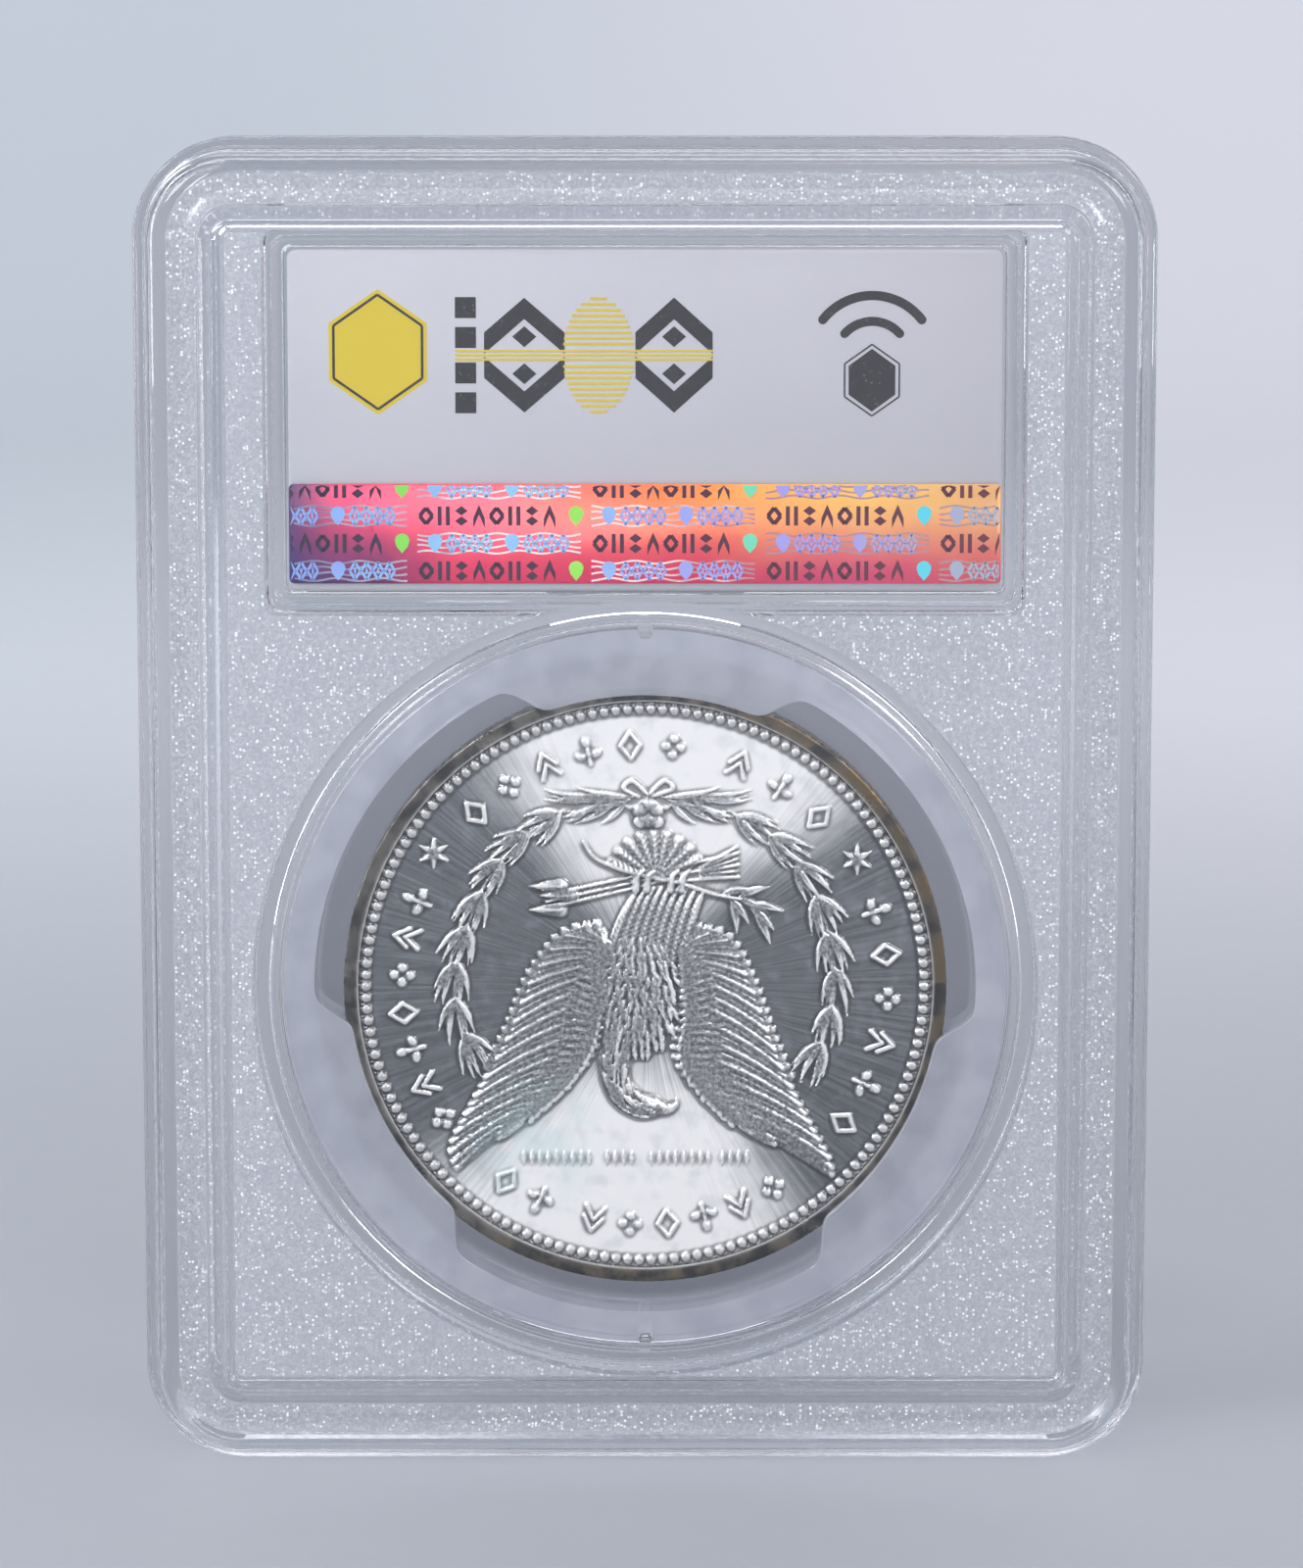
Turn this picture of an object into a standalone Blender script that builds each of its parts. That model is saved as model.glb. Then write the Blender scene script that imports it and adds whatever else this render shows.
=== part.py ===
"""A graded coin slab: a sealed clear case that holds one large silver coin.

Two polystyrene half shells meet at a welded seam. A clear ring with three prongs grips the coin in
a round well, and a framed window above it holds two printed labels with an NFC tag between them.

Metres, with +Z up. The rear face looks along -Y and is the face with the foil strip; +X is to the
right as that face is read. The origin is the middle of the bottom edge, at the seam.
A "depth" is a distance from the seam plane, whichever side of it a piece is on.
"""

import math

import bmesh
import bpy

MM = 0.001

# The case
SLAB_WIDTH = 63.5 * MM
SLAB_HEIGHT = 83.8 * MM
CORNER_RADIUS = 6.3 * MM
LEAST_CORNER_RADIUS = 0.3 * MM
PANEL_THICKNESS = 1.5 * MM
FLANGE_DEPTH = 1.9 * MM
FLANGE_WIDTH = 0.7 * MM
WALL_WIDTH = 3.2 * MM
SHOULDER_RADIUS = 1.3 * MM

# The raised edges that let one slab nest on the next
EDGE_RISE = 0.6 * MM
FRONT_RIM_WIDTH = 3.9 * MM
NEST_GAP = 0.2 * MM
REAR_RIDGE_WIDTH = 1.9 * MM
RIDGE_EDGE_RADIUS = 0.2 * MM

# The weld
TONGUE_INSET = 1.4 * MM
TONGUE_WIDTH = 0.6 * MM
TONGUE_HEIGHT = 0.6 * MM

# The coin and the ring that grips it
COIN_RADIUS = 19.05 * MM
COIN_THICKNESS = 2.4 * MM
COIN_RIM_WIDTH = 0.9 * MM
COIN_RIM_SLOPE = 0.25 * MM
COIN_FIELD_DEPTH = 0.2 * MM
COIN_EDGE_CHAMFER = 0.12 * MM
RING_BAND = 2.0 * MM
RING_LIP_THICKNESS = 0.35 * MM
RING_LIP_OVERLAP = 0.45 * MM
PRONG_COUNT = 3
PRONG_HALF_ANGLE = math.radians(21.3)
PRONG_REACH = 2.2 * MM
PRONG_FLARE = math.radians(34.0)
WELL_WALL = 1.5 * MM
WELL_FROM_FOOT = 5.9 * MM
KEY_WIDTH = 0.7 * MM
KEY_REACH = 0.5 * MM

# The labels and what is laid up with them
LABEL_WIDTH = 44.4 * MM
LABEL_HEIGHT = 21.1 * MM
LABEL_THICKNESS = 0.3 * MM
LABEL_CORNER_RADIUS = 0.5 * MM
LABEL_FROM_TOP = 7.0 * MM
LABEL_FRAME_WALL = 1.1 * MM
STRIP_HEIGHT = 6.2 * MM
STRIP_FROM_LABEL_FOOT = 0.4 * MM
FOIL_THICKNESS = 0.1 * MM
TAG_MARGIN = 2.2 * MM
TRACK_WIDTH = 0.4 * MM
TRACK_PITCH = 0.9 * MM
TRACK_TURNS = 4
TRACK_MARGIN = 1.0 * MM
CHIP_SIZE = 1.4 * MM
CHIP_THICKNESS = 0.2 * MM
BRIDGE_WIDTH = 0.8 * MM

# Clearances
GAP = 0.3 * MM
LAYER_GAP = 0.15 * MM

# Construction
OVERLAP = 0.3 * MM
CUT_PAST = 1.0 * MM
CORNER_STEPS = 8
RING_STEPS = 96
COIN_STEPS = 128
WELD_DISTANCE = 0.00001

# Depths, built outwards from the seam plane
SEAM_DEPTH = GAP / 2
COIN_HALF = COIN_THICKNESS / 2
RING_GROOVE_DEPTH = COIN_HALF + GAP
RING_HALF = RING_GROOVE_DEPTH + RING_LIP_THICKNESS
CAVITY_DEPTH = RING_HALF + GAP
PANEL_FACE_DEPTH = CAVITY_DEPTH + PANEL_THICKNESS
SLAB_HALF = PANEL_FACE_DEPTH + EDGE_RISE

# The stack of layers behind the windows, from the rear to the front
LAYERS = (
    ("security_strip", FOIL_THICKNESS),
    ("rear_label", LABEL_THICKNESS),
    ("nfc_bridge", FOIL_THICKNESS),
    ("nfc_film", FOIL_THICKNESS),
    ("nfc_antenna", FOIL_THICKNESS),
    ("nfc_chip", CHIP_THICKNESS),
    ("front_label", LABEL_THICKNESS),
)
STACK = sum(thickness for _, thickness in LAYERS) + LAYER_GAP * (len(LAYERS) - 1)
WINDOW_DEPTH = STACK / 2 + GAP

# Radii, built outwards from the coin
RING_LIP_RADIUS = COIN_RADIUS - RING_LIP_OVERLAP
PRONG_GAP_RADIUS = RING_LIP_RADIUS + PRONG_REACH
RING_RADIUS = PRONG_GAP_RADIUS + RING_BAND
WELL_RADIUS = RING_RADIUS + GAP

# Heights
COIN_CENTRE_HEIGHT = WELL_FROM_FOOT + WELL_WALL + WELL_RADIUS
LABEL_CENTRE_HEIGHT = SLAB_HEIGHT - LABEL_FROM_TOP - LABEL_HEIGHT / 2

REAR, FRONT = -1, 1


def clear_scene():
    for item in list(bpy.data.objects):
        bpy.data.objects.remove(item, do_unlink=True)


def new_collection(name):
    collection = bpy.data.collections.new(name)
    bpy.context.scene.collection.children.link(collection)
    return collection


clear_scene()
PARTS = new_collection("graded_coin_slab")
HELPERS = new_collection("cutters")


def material(name, colour, roughness, metallic=0.0, alpha=1.0):
    made = bpy.data.materials.new(name)
    made.use_nodes = True
    shader = made.node_tree.nodes["Principled BSDF"]
    shader.inputs["Base Color"].default_value = (*colour, 1.0)
    shader.inputs["Roughness"].default_value = roughness
    shader.inputs["Metallic"].default_value = metallic
    shader.inputs["Alpha"].default_value = alpha
    return made


# Outlines, as points (x, z) run anticlockwise as the rear face is read


def rounded_rectangle(width, height, radius, centre_z):
    points = []
    for quarter in range(4):
        side_x = (1, -1, -1, 1)[quarter]
        side_z = (1, 1, -1, -1)[quarter]
        corner_x = side_x * (width / 2 - radius)
        corner_z = centre_z + side_z * (height / 2 - radius)
        for step in range(CORNER_STEPS + 1):
            angle = math.pi / 2 * (quarter + step / CORNER_STEPS)
            points.append((corner_x + radius * math.cos(angle), corner_z + radius * math.sin(angle)))
    return points


def slab_outline(inset):
    radius = max(CORNER_RADIUS - inset, LEAST_CORNER_RADIUS)
    return rounded_rectangle(SLAB_WIDTH - 2 * inset, SLAB_HEIGHT - 2 * inset, radius, SLAB_HEIGHT / 2)


def label_outline(margin):
    """The label's outline, moved outwards by a margin."""
    width = LABEL_WIDTH + 2 * margin
    height = LABEL_HEIGHT + 2 * margin
    return rounded_rectangle(width, height, LABEL_CORNER_RADIUS + max(margin, 0.0), LABEL_CENTRE_HEIGHT)


def arc(radius, start, end, steps):
    angles = [start + (end - start) * step / steps for step in range(steps + 1)]
    return [(radius * math.cos(a), COIN_CENTRE_HEIGHT + radius * math.sin(a)) for a in angles]


def coin_circle(radius):
    return arc(radius, 0.0, 2 * math.pi, RING_STEPS)[:-1]


def prong_outline():
    """The ring's inner edge: prongs that lap over the coin, with wider gaps between them."""
    flare = PRONG_REACH * math.tan(PRONG_FLARE) / PRONG_GAP_RADIUS
    gap_half = math.pi / PRONG_COUNT - PRONG_HALF_ANGLE - flare
    steps = RING_STEPS // (2 * PRONG_COUNT)
    points = []
    for prong in range(PRONG_COUNT):
        middle = math.pi / 2 + 2 * math.pi * prong / PRONG_COUNT
        gap_middle = middle + math.pi / PRONG_COUNT
        points += arc(RING_LIP_RADIUS, middle - PRONG_HALF_ANGLE, middle + PRONG_HALF_ANGLE, steps)
        points += arc(PRONG_GAP_RADIUS, gap_middle - gap_half, gap_middle + gap_half, steps)
    return points


def key_outline(side, margin):
    """A locating key inside the well, above (side 1) or below (side -1) the coin."""
    tip = WELL_RADIUS - KEY_REACH - margin
    root = WELL_RADIUS + OVERLAP
    centre_z = COIN_CENTRE_HEIGHT + side * (tip + root) / 2
    return rounded_rectangle(KEY_WIDTH + 2 * margin, root - tip, KEY_WIDTH / 6, centre_z)


# Pieces and Booleans


def add_mesh_object(name, mesh, collection, matrix=None):
    made = bpy.data.objects.new(name, mesh)
    if matrix is not None:
        made.matrix_world = matrix
    collection.objects.link(made)
    if collection is HELPERS:
        made.hide_render = True
        made.display_type = "WIRE"
    return made


def plate(name, outlines, low_y, high_y, collection=HELPERS):
    """A flat solid between two heights along Y. An outline inside another is a hole."""
    curve = bpy.data.curves.new(name, "CURVE")
    curve.dimensions = "2D"
    curve.fill_mode = "BOTH"
    curve.extrude = abs(high_y - low_y) / 2
    for outline in outlines:
        spline = curve.splines.new("POLY")
        spline.points.add(len(outline) - 1)
        for point, (x, z) in zip(spline.points, outline):
            point.co = (x, z, 0.0, 1.0)
        spline.use_cyclic_u = True
    drawn = bpy.data.objects.new(name + "_drawn", curve)
    drawn.rotation_euler.x = math.pi / 2
    drawn.location.y = (low_y + high_y) / 2
    bpy.context.scene.collection.objects.link(drawn)
    bpy.context.view_layer.update()
    depsgraph = bpy.context.evaluated_depsgraph_get()
    mesh = bpy.data.meshes.new_from_object(drawn.evaluated_get(depsgraph))
    matrix = drawn.matrix_world.copy()
    bpy.data.objects.remove(drawn, do_unlink=True)
    weld(mesh)
    return add_mesh_object(name, mesh, collection, matrix)


def weld(mesh):
    shape = bmesh.new()
    shape.from_mesh(mesh)
    bmesh.ops.remove_doubles(shape, verts=shape.verts, dist=WELD_DISTANCE)
    bmesh.ops.recalc_face_normals(shape, faces=shape.faces)
    shape.to_mesh(mesh)
    shape.free()


def slab_plate(name, side, outlines, low_depth, high_depth, collection=HELPERS):
    return plate(name, outlines, side * low_depth, side * high_depth, collection)


def bevel(piece, width, segments):
    modifier = piece.modifiers.new("rounded_edges", "BEVEL")
    modifier.limit_method = "ANGLE"
    modifier.angle_limit = math.radians(60)
    modifier.width = width
    modifier.segments = segments
    return piece


def combine(piece, other, operation):
    modifier = piece.modifiers.new(other.name, "BOOLEAN")
    modifier.operation = operation
    modifier.solver = "EXACT"
    modifier.object = other


def join(piece, other):
    combine(piece, other, "UNION")


def cut(piece, other):
    combine(piece, other, "DIFFERENCE")


def finish(piece, made_of):
    piece.data.materials.clear()
    piece.data.materials.append(made_of)
    return piece


# The shells


def add_inner_walls(shell, side, name):
    """Opens the cavity, then raises the coin well, the label frame and the locating keys in it."""
    root = CAVITY_DEPTH + OVERLAP
    cut(shell, slab_plate(name + "_cavity", side, [slab_outline(WALL_WIDTH)], -CUT_PAST, CAVITY_DEPTH))
    well_wall = coin_circle(WELL_RADIUS + WELL_WALL)
    join(shell, slab_plate(name + "_well_wall", side, [well_wall], SEAM_DEPTH, root))
    frame = label_outline(GAP + LABEL_FRAME_WALL)
    join(shell, slab_plate(name + "_label_frame", side, [frame], SEAM_DEPTH, root))
    well = coin_circle(WELL_RADIUS)
    cut(shell, slab_plate(name + "_well", side, [well], -CUT_PAST, CAVITY_DEPTH))
    window = label_outline(GAP)
    cut(shell, slab_plate(name + "_window", side, [window], -CUT_PAST, WINDOW_DEPTH))
    for key_side in (1, -1):
        key = slab_plate(name + "_key", side, [key_outline(key_side, 0.0)], SEAM_DEPTH, root)
        join(shell, key)


def make_shell(name, side, face_depth):
    body_depth = SEAM_DEPTH + OVERLAP
    shell = slab_plate(name, side, [slab_outline(FLANGE_WIDTH)], body_depth, face_depth, PARTS)
    bevel(shell, SHOULDER_RADIUS, 3)
    join(shell, slab_plate(name + "_flange", side, [slab_outline(0.0)], SEAM_DEPTH, FLANGE_DEPTH))
    add_inner_walls(shell, side, name)
    return shell


def tongue_outlines(margin):
    outer = slab_outline(TONGUE_INSET - margin)
    inner = slab_outline(TONGUE_INSET + TONGUE_WIDTH + margin)
    return [outer, inner]


def make_front_shell():
    shell = make_shell("front_shell", FRONT, SLAB_HALF)
    recess = [slab_outline(FRONT_RIM_WIDTH)]
    cut(shell, slab_plate("front_recess", FRONT, recess, PANEL_FACE_DEPTH, SLAB_HALF + CUT_PAST))
    groove_depth = TONGUE_HEIGHT + GAP
    cut(shell, slab_plate("weld_groove", FRONT, tongue_outlines(GAP), -CUT_PAST, groove_depth))
    return finish(shell, material("clear_front", (0.80, 0.83, 0.87), 0.12, alpha=0.35))


def make_rear_shell():
    shell = make_shell("rear_shell", REAR, PANEL_FACE_DEPTH)
    ridge_inset = FRONT_RIM_WIDTH + NEST_GAP
    ridge_outlines = [slab_outline(ridge_inset), slab_outline(ridge_inset + REAR_RIDGE_WIDTH)]
    ridge = slab_plate("rear_ridge", REAR, ridge_outlines, PANEL_FACE_DEPTH - OVERLAP, SLAB_HALF)
    join(shell, bevel(ridge, RIDGE_EDGE_RADIUS, 2))
    tongue = plate("weld_tongue", tongue_outlines(0.0), -SEAM_DEPTH - OVERLAP, TONGUE_HEIGHT)
    join(shell, tongue)
    return finish(shell, material("clear_rear", (0.78, 0.81, 0.86), 0.12, alpha=0.35))


# The ring and the coin


def make_coin_ring():
    outlines = [coin_circle(RING_RADIUS), prong_outline()]
    ring = plate("coin_ring", outlines, -RING_HALF, RING_HALF, PARTS)
    seat = [coin_circle(COIN_RADIUS + GAP)]
    cut(ring, plate("coin_groove", seat, -RING_GROOVE_DEPTH, RING_GROOVE_DEPTH))
    for key_side in (1, -1):
        notch = [key_outline(key_side, GAP)]
        cut(ring, plate("ring_notch", notch, -RING_HALF - CUT_PAST, RING_HALF + CUT_PAST))
    return finish(ring, material("clear_ring", (0.72, 0.75, 0.80), 0.2, alpha=0.5))


def coin_profile():
    """Half of the coin's section, from the middle of one face, round the edge, to the other."""
    field = COIN_HALF - COIN_FIELD_DEPTH
    rim_inner = COIN_RADIUS - COIN_RIM_WIDTH
    upper = [
        (0.0, field),
        (rim_inner - COIN_RIM_SLOPE, field),
        (rim_inner, COIN_HALF),
        (COIN_RADIUS - COIN_EDGE_CHAMFER, COIN_HALF),
        (COIN_RADIUS, COIN_HALF - COIN_EDGE_CHAMFER),
    ]
    return upper + [(radius, -height) for radius, height in reversed(upper)]


def make_coin():
    shape = bmesh.new()
    corners = [shape.verts.new((radius, 0.0, height)) for radius, height in coin_profile()]
    for first, second in zip(corners, corners[1:]):
        shape.edges.new((first, second))
    mesh = bpy.data.meshes.new("coin")
    shape.to_mesh(mesh)
    shape.free()
    coin = add_mesh_object("coin", mesh, PARTS)
    coin.rotation_euler.x = math.pi / 2
    coin.location.z = COIN_CENTRE_HEIGHT
    turn = coin.modifiers.new("turned", "SCREW")
    turn.steps = COIN_STEPS
    turn.render_steps = COIN_STEPS
    turn.use_merge_vertices = True
    turn.merge_threshold = WELD_DISTANCE
    return finish(coin, material("silver", (0.80, 0.80, 0.79), 0.2, metallic=1.0))


# The labels, the foil and the tag


def layer_span(name):
    """The lowest and highest y of one layer of the stack."""
    low = -STACK / 2
    for layer, thickness in LAYERS:
        if layer == name:
            return low, low + thickness
        low += thickness + LAYER_GAP
    raise KeyError(name)


def make_label(name, colour):
    low, high = layer_span(name)
    label = plate(name, [label_outline(0.0)], low, high, PARTS)
    return finish(label, material(name + "_card", colour, 0.6))


def make_security_strip():
    low, high = layer_span("security_strip")
    foot = LABEL_CENTRE_HEIGHT - LABEL_HEIGHT / 2 + STRIP_FROM_LABEL_FOOT
    outline = rounded_rectangle(LABEL_WIDTH, STRIP_HEIGHT, LEAST_CORNER_RADIUS, foot + STRIP_HEIGHT / 2)
    strip = plate("security_strip", [outline], low, high, PARTS)
    return finish(strip, material("security_foil", (0.62, 0.30, 0.38), 0.25, metallic=0.8))


def tag_half_size():
    """Half the width and half the height of the film that carries the tag."""
    return LABEL_WIDTH / 2 - TAG_MARGIN, LABEL_HEIGHT / 2 - TAG_MARGIN


def make_nfc_film():
    low, high = layer_span("nfc_film")
    half_width, half_height = tag_half_size()
    outline = rounded_rectangle(2 * half_width, 2 * half_height, LABEL_CORNER_RADIUS, LABEL_CENTRE_HEIGHT)
    film = plate("nfc_film", [outline], low, high, PARTS)
    return finish(film, material("tag_film", (0.85, 0.85, 0.82), 0.35))


def loop_half_size(turn):
    """Half the width and height of one turn of the track, counted from the outside."""
    half_width, half_height = tag_half_size()
    shrink = TRACK_MARGIN + TRACK_PITCH * (turn + 1)
    return half_width - shrink, half_height - shrink


def track_path():
    """A rectangular spiral that starts and ends half way up its left side."""
    outer_width, outer_height = loop_half_size(0)
    points = [(-outer_width - TRACK_PITCH, 0.0), (-outer_width - TRACK_PITCH, -outer_height)]
    for turn in range(TRACK_TURNS):
        half_width, half_height = loop_half_size(turn)
        last = turn == TRACK_TURNS - 1
        end_z = 0.0 if last else -half_height + TRACK_PITCH
        points += [
            (half_width, -half_height),
            (half_width, half_height),
            (-half_width, half_height),
            (-half_width, end_z),
        ]
    return points


def make_nfc_antenna():
    low, high = layer_span("nfc_antenna")
    shape = bmesh.new()
    path = [shape.verts.new((x, low, LABEL_CENTRE_HEIGHT + z)) for x, z in track_path()]
    track = [shape.edges.new(ends) for ends in zip(path, path[1:])]
    raised = bmesh.ops.extrude_edge_only(shape, edges=track)["geom"]
    moved = [item for item in raised if isinstance(item, bmesh.types.BMVert)]
    bmesh.ops.translate(shape, verts=moved, vec=(0.0, high - low, 0.0))
    mesh = bpy.data.meshes.new("nfc_antenna")
    shape.to_mesh(mesh)
    shape.free()
    antenna = add_mesh_object("nfc_antenna", mesh, PARTS)
    ribbon = antenna.modifiers.new("track_width", "SOLIDIFY")
    ribbon.thickness = TRACK_WIDTH
    ribbon.offset = 0.0
    ribbon.use_even_offset = True
    return finish(antenna, material("tag_track", (0.75, 0.76, 0.78), 0.3, metallic=1.0))


def chip_centre_x():
    """The chip sits just inside the innermost turn, where the track ends."""
    half_width, _ = loop_half_size(TRACK_TURNS - 1)
    return -half_width + TRACK_WIDTH / 2 + LAYER_GAP + CHIP_SIZE / 2


def make_nfc_chip():
    low, high = layer_span("nfc_chip")
    middle = chip_centre_x()
    outline = rounded_rectangle(CHIP_SIZE, CHIP_SIZE, LABEL_CORNER_RADIUS / 5, LABEL_CENTRE_HEIGHT)
    chip = plate("nfc_chip", [[(middle + x, z) for x, z in outline]], low, high, PARTS)
    return finish(chip, material("tag_chip", (0.05, 0.05, 0.06), 0.4))


def make_nfc_bridge():
    """The strap behind the film that takes the track's outer end back to the chip."""
    low, high = layer_span("nfc_bridge")
    outer_width, _ = loop_half_size(-1)
    start = -outer_width - TRACK_WIDTH / 2
    end = chip_centre_x() + CHIP_SIZE / 2
    radius = LABEL_CORNER_RADIUS / 5
    outline = rounded_rectangle(end - start, BRIDGE_WIDTH, radius, LABEL_CENTRE_HEIGHT)
    middle = (start + end) / 2
    bridge = plate("nfc_bridge", [[(middle + x, z) for x, z in outline]], low, high, PARTS)
    return finish(bridge, material("tag_bridge", (0.78, 0.62, 0.45), 0.35, metallic=1.0))


def shade_smooth(piece):
    piece.data.shade_smooth()
    piece.data.set_sharp_from_angle(angle=math.radians(30))


make_front_shell()
make_rear_shell()
shade_smooth(make_coin_ring())
shade_smooth(make_coin())
make_label("front_label", (0.78, 0.80, 0.84))
make_label("rear_label", (0.78, 0.80, 0.84))
make_security_strip()
make_nfc_film()
make_nfc_antenna()
make_nfc_chip()
make_nfc_bridge()
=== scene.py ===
"""Looks for the graded coin slab: clear case, pronged ring, struck silver coin, printed labels, foil.

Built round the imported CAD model. Lengths in the constants are in millimetres and are scaled to
metres where meshes are made. Places come from the frame's boxes. A depth is a distance from the
seam plane at y = 0: the rear half lies at -Y and the front half at +Y.
"""

import math

import bmesh
import bpy
import numpy as np
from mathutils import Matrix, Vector


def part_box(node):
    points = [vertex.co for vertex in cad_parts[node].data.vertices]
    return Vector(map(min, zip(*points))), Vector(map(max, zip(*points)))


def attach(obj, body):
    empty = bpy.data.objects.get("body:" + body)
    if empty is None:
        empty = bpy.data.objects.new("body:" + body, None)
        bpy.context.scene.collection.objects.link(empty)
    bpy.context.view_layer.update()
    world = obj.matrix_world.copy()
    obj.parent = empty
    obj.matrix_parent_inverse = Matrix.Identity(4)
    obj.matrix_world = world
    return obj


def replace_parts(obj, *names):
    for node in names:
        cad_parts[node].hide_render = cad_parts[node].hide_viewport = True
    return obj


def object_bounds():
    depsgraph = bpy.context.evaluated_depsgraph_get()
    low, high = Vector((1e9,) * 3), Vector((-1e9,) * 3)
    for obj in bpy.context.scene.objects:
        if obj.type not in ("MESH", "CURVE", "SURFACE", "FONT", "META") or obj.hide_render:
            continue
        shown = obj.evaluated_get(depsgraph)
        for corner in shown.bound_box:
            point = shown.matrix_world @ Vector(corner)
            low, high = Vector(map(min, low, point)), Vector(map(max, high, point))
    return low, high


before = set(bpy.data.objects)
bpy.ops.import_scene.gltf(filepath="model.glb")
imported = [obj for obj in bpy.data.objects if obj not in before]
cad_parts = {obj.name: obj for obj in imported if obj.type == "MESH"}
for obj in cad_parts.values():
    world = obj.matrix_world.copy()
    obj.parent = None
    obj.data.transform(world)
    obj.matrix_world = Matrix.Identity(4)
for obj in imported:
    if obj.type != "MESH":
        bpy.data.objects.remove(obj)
CAD_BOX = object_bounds()

MM = 0.001
REAR, FRONT = -1, 1


def box_mm(node):
    low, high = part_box(node)
    return np.array(low) / MM, np.array(high) / MM


SLAB_LOW, SLAB_HIGH = np.array(CAD_BOX[0]) / MM, np.array(CAD_BOX[1]) / MM
SLAB_WIDTH = SLAB_HIGH[0] - SLAB_LOW[0]
SLAB_HEIGHT = SLAB_HIGH[2] - SLAB_LOW[2]
SLAB_HALF = SLAB_HIGH[1]
SLAB_MIDDLE = (0.0, SLAB_HEIGHT / 2)

COIN_LOW, COIN_HIGH = box_mm("coin")
COIN_RADIUS = (COIN_HIGH[0] - COIN_LOW[0]) / 2
COIN_HALF = COIN_HIGH[1]
COIN_MIDDLE = (0.0, (COIN_LOW[2] + COIN_HIGH[2]) / 2)

RING_RADIUS, RING_HALF = box_mm("coin_ring")[1][:2]

LABEL_LOW, LABEL_HIGH = box_mm("rear_label")
LABEL_WIDTH = LABEL_HIGH[0] - LABEL_LOW[0]
LABEL_HEIGHT = LABEL_HIGH[2] - LABEL_LOW[2]
LABEL_MIDDLE = (0.0, (LABEL_LOW[2] + LABEL_HIGH[2]) / 2)

# The case
CORNER_RADIUS = 6.3
LEAST_RADIUS = 0.3
GAP = 0.3
PANEL_FACE = 3.65
CAVITY = 2.15
FLANGE_DEPTH = 1.9
FLANGE_WIDTH = 0.7
WALL_WIDTH = 3.2
SHOULDER = 1.3
FINE, FILLET, SOFT, BROAD = 0.1, 0.12, 0.2, 0.25
SEAM = 0.012
LIP_LIFT = 0.02
FURROW_HALF = 0.13
RIM_WIDTH = 3.9
RIDGE_OUTER = 4.1
RIDGE_TOP = 5.0
RIDGE_INNER = 5.65
RIDGE_LEDGE, LEDGE_RISE = 5.28, 0.25
RIDGE_LEAN = 0.6
SHOULDER_END = FLANGE_WIDTH + SHOULDER + 0.15
WELL_RADIUS = RING_RADIUS + GAP
WELL_WALL = 1.5
FRAME_OUT = 1.4
WINDOW_DEPTH = 1.35
TONGUE_INSET, TONGUE_WIDTH, TONGUE_HEIGHT = 1.4, 0.6, 0.6
WELD_GAP, WELD_LEAN = 0.1, 0.08
KEY_WIDTH, KEY_REACH = 0.7, 0.5
CORNER_STEPS = 20

# The ring
LIP_RADIUS = COIN_RADIUS - 0.45
PRONG_REACH = 2.2
PRONG_COUNT = 3
PRONG_HALF = math.radians(21.6)
PRONG_FLARE = math.radians(4.6)
PRONG_FIRST = math.radians(88.5)
RING_STEPS = 540
RING_EDGE, RING_BEVEL = 0.15, 0.045
COIN_PLAY = 0.06

# The coin
COIN_GRID = 440
REEDS = 176
REED_DEPTH = 0.09
RIM_INNER = 18.15
FIELD_DROP = 0.30
EDGE_CHAMFER = 0.12
BEAD_COUNT = 150
BEAD_RING = 17.68
BEAD_RADIUS = 0.38


# Meshes

CREASE, COIN_CREASE = math.radians(32), math.radians(50)
FLAT_FACE_WEIGHT = 80


def new_object(name, vertices, faces, smooth=True):
    mesh = bpy.data.meshes.new(name)
    mesh.from_pydata([tuple(float(c) * MM for c in v) for v in vertices], [], faces)
    mesh.validate()
    made = bpy.data.objects.new(name, mesh)
    bpy.context.scene.collection.objects.link(made)
    if smooth:
        mesh.shade_smooth()
    return made


def outline(width, height, radius, middle, steps=CORNER_STEPS):
    """A rounded rectangle as (x, z) points, anticlockwise."""
    radius = max(radius, LEAST_RADIUS / 3)
    points = []
    for quarter, (side_x, side_z) in enumerate(((1, 1), (-1, 1), (-1, -1), (1, -1))):
        for step in range(steps + 1):
            angle = math.pi / 2 * (quarter + step / steps)
            x = middle[0] + side_x * (width / 2 - radius) + radius * math.cos(angle)
            z = middle[1] + side_z * (height / 2 - radius) + radius * math.sin(angle)
            points.append((x, z))
    return points


def slab_ring(inset):
    return outline(
        SLAB_WIDTH - 2 * inset, SLAB_HEIGHT - 2 * inset, CORNER_RADIUS - inset, SLAB_MIDDLE
    )


def label_ring(outset):
    return outline(
        LABEL_WIDTH + 2 * outset, LABEL_HEIGHT + 2 * outset, 0.5 + 0.25 * outset, LABEL_MIDDLE
    )


def circle_ring(radius, steps=288):
    angles = np.arange(steps) * 2 * math.pi / steps
    return [(radius * math.cos(a), COIN_MIDDLE[1] + radius * math.sin(a)) for a in angles]


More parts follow.
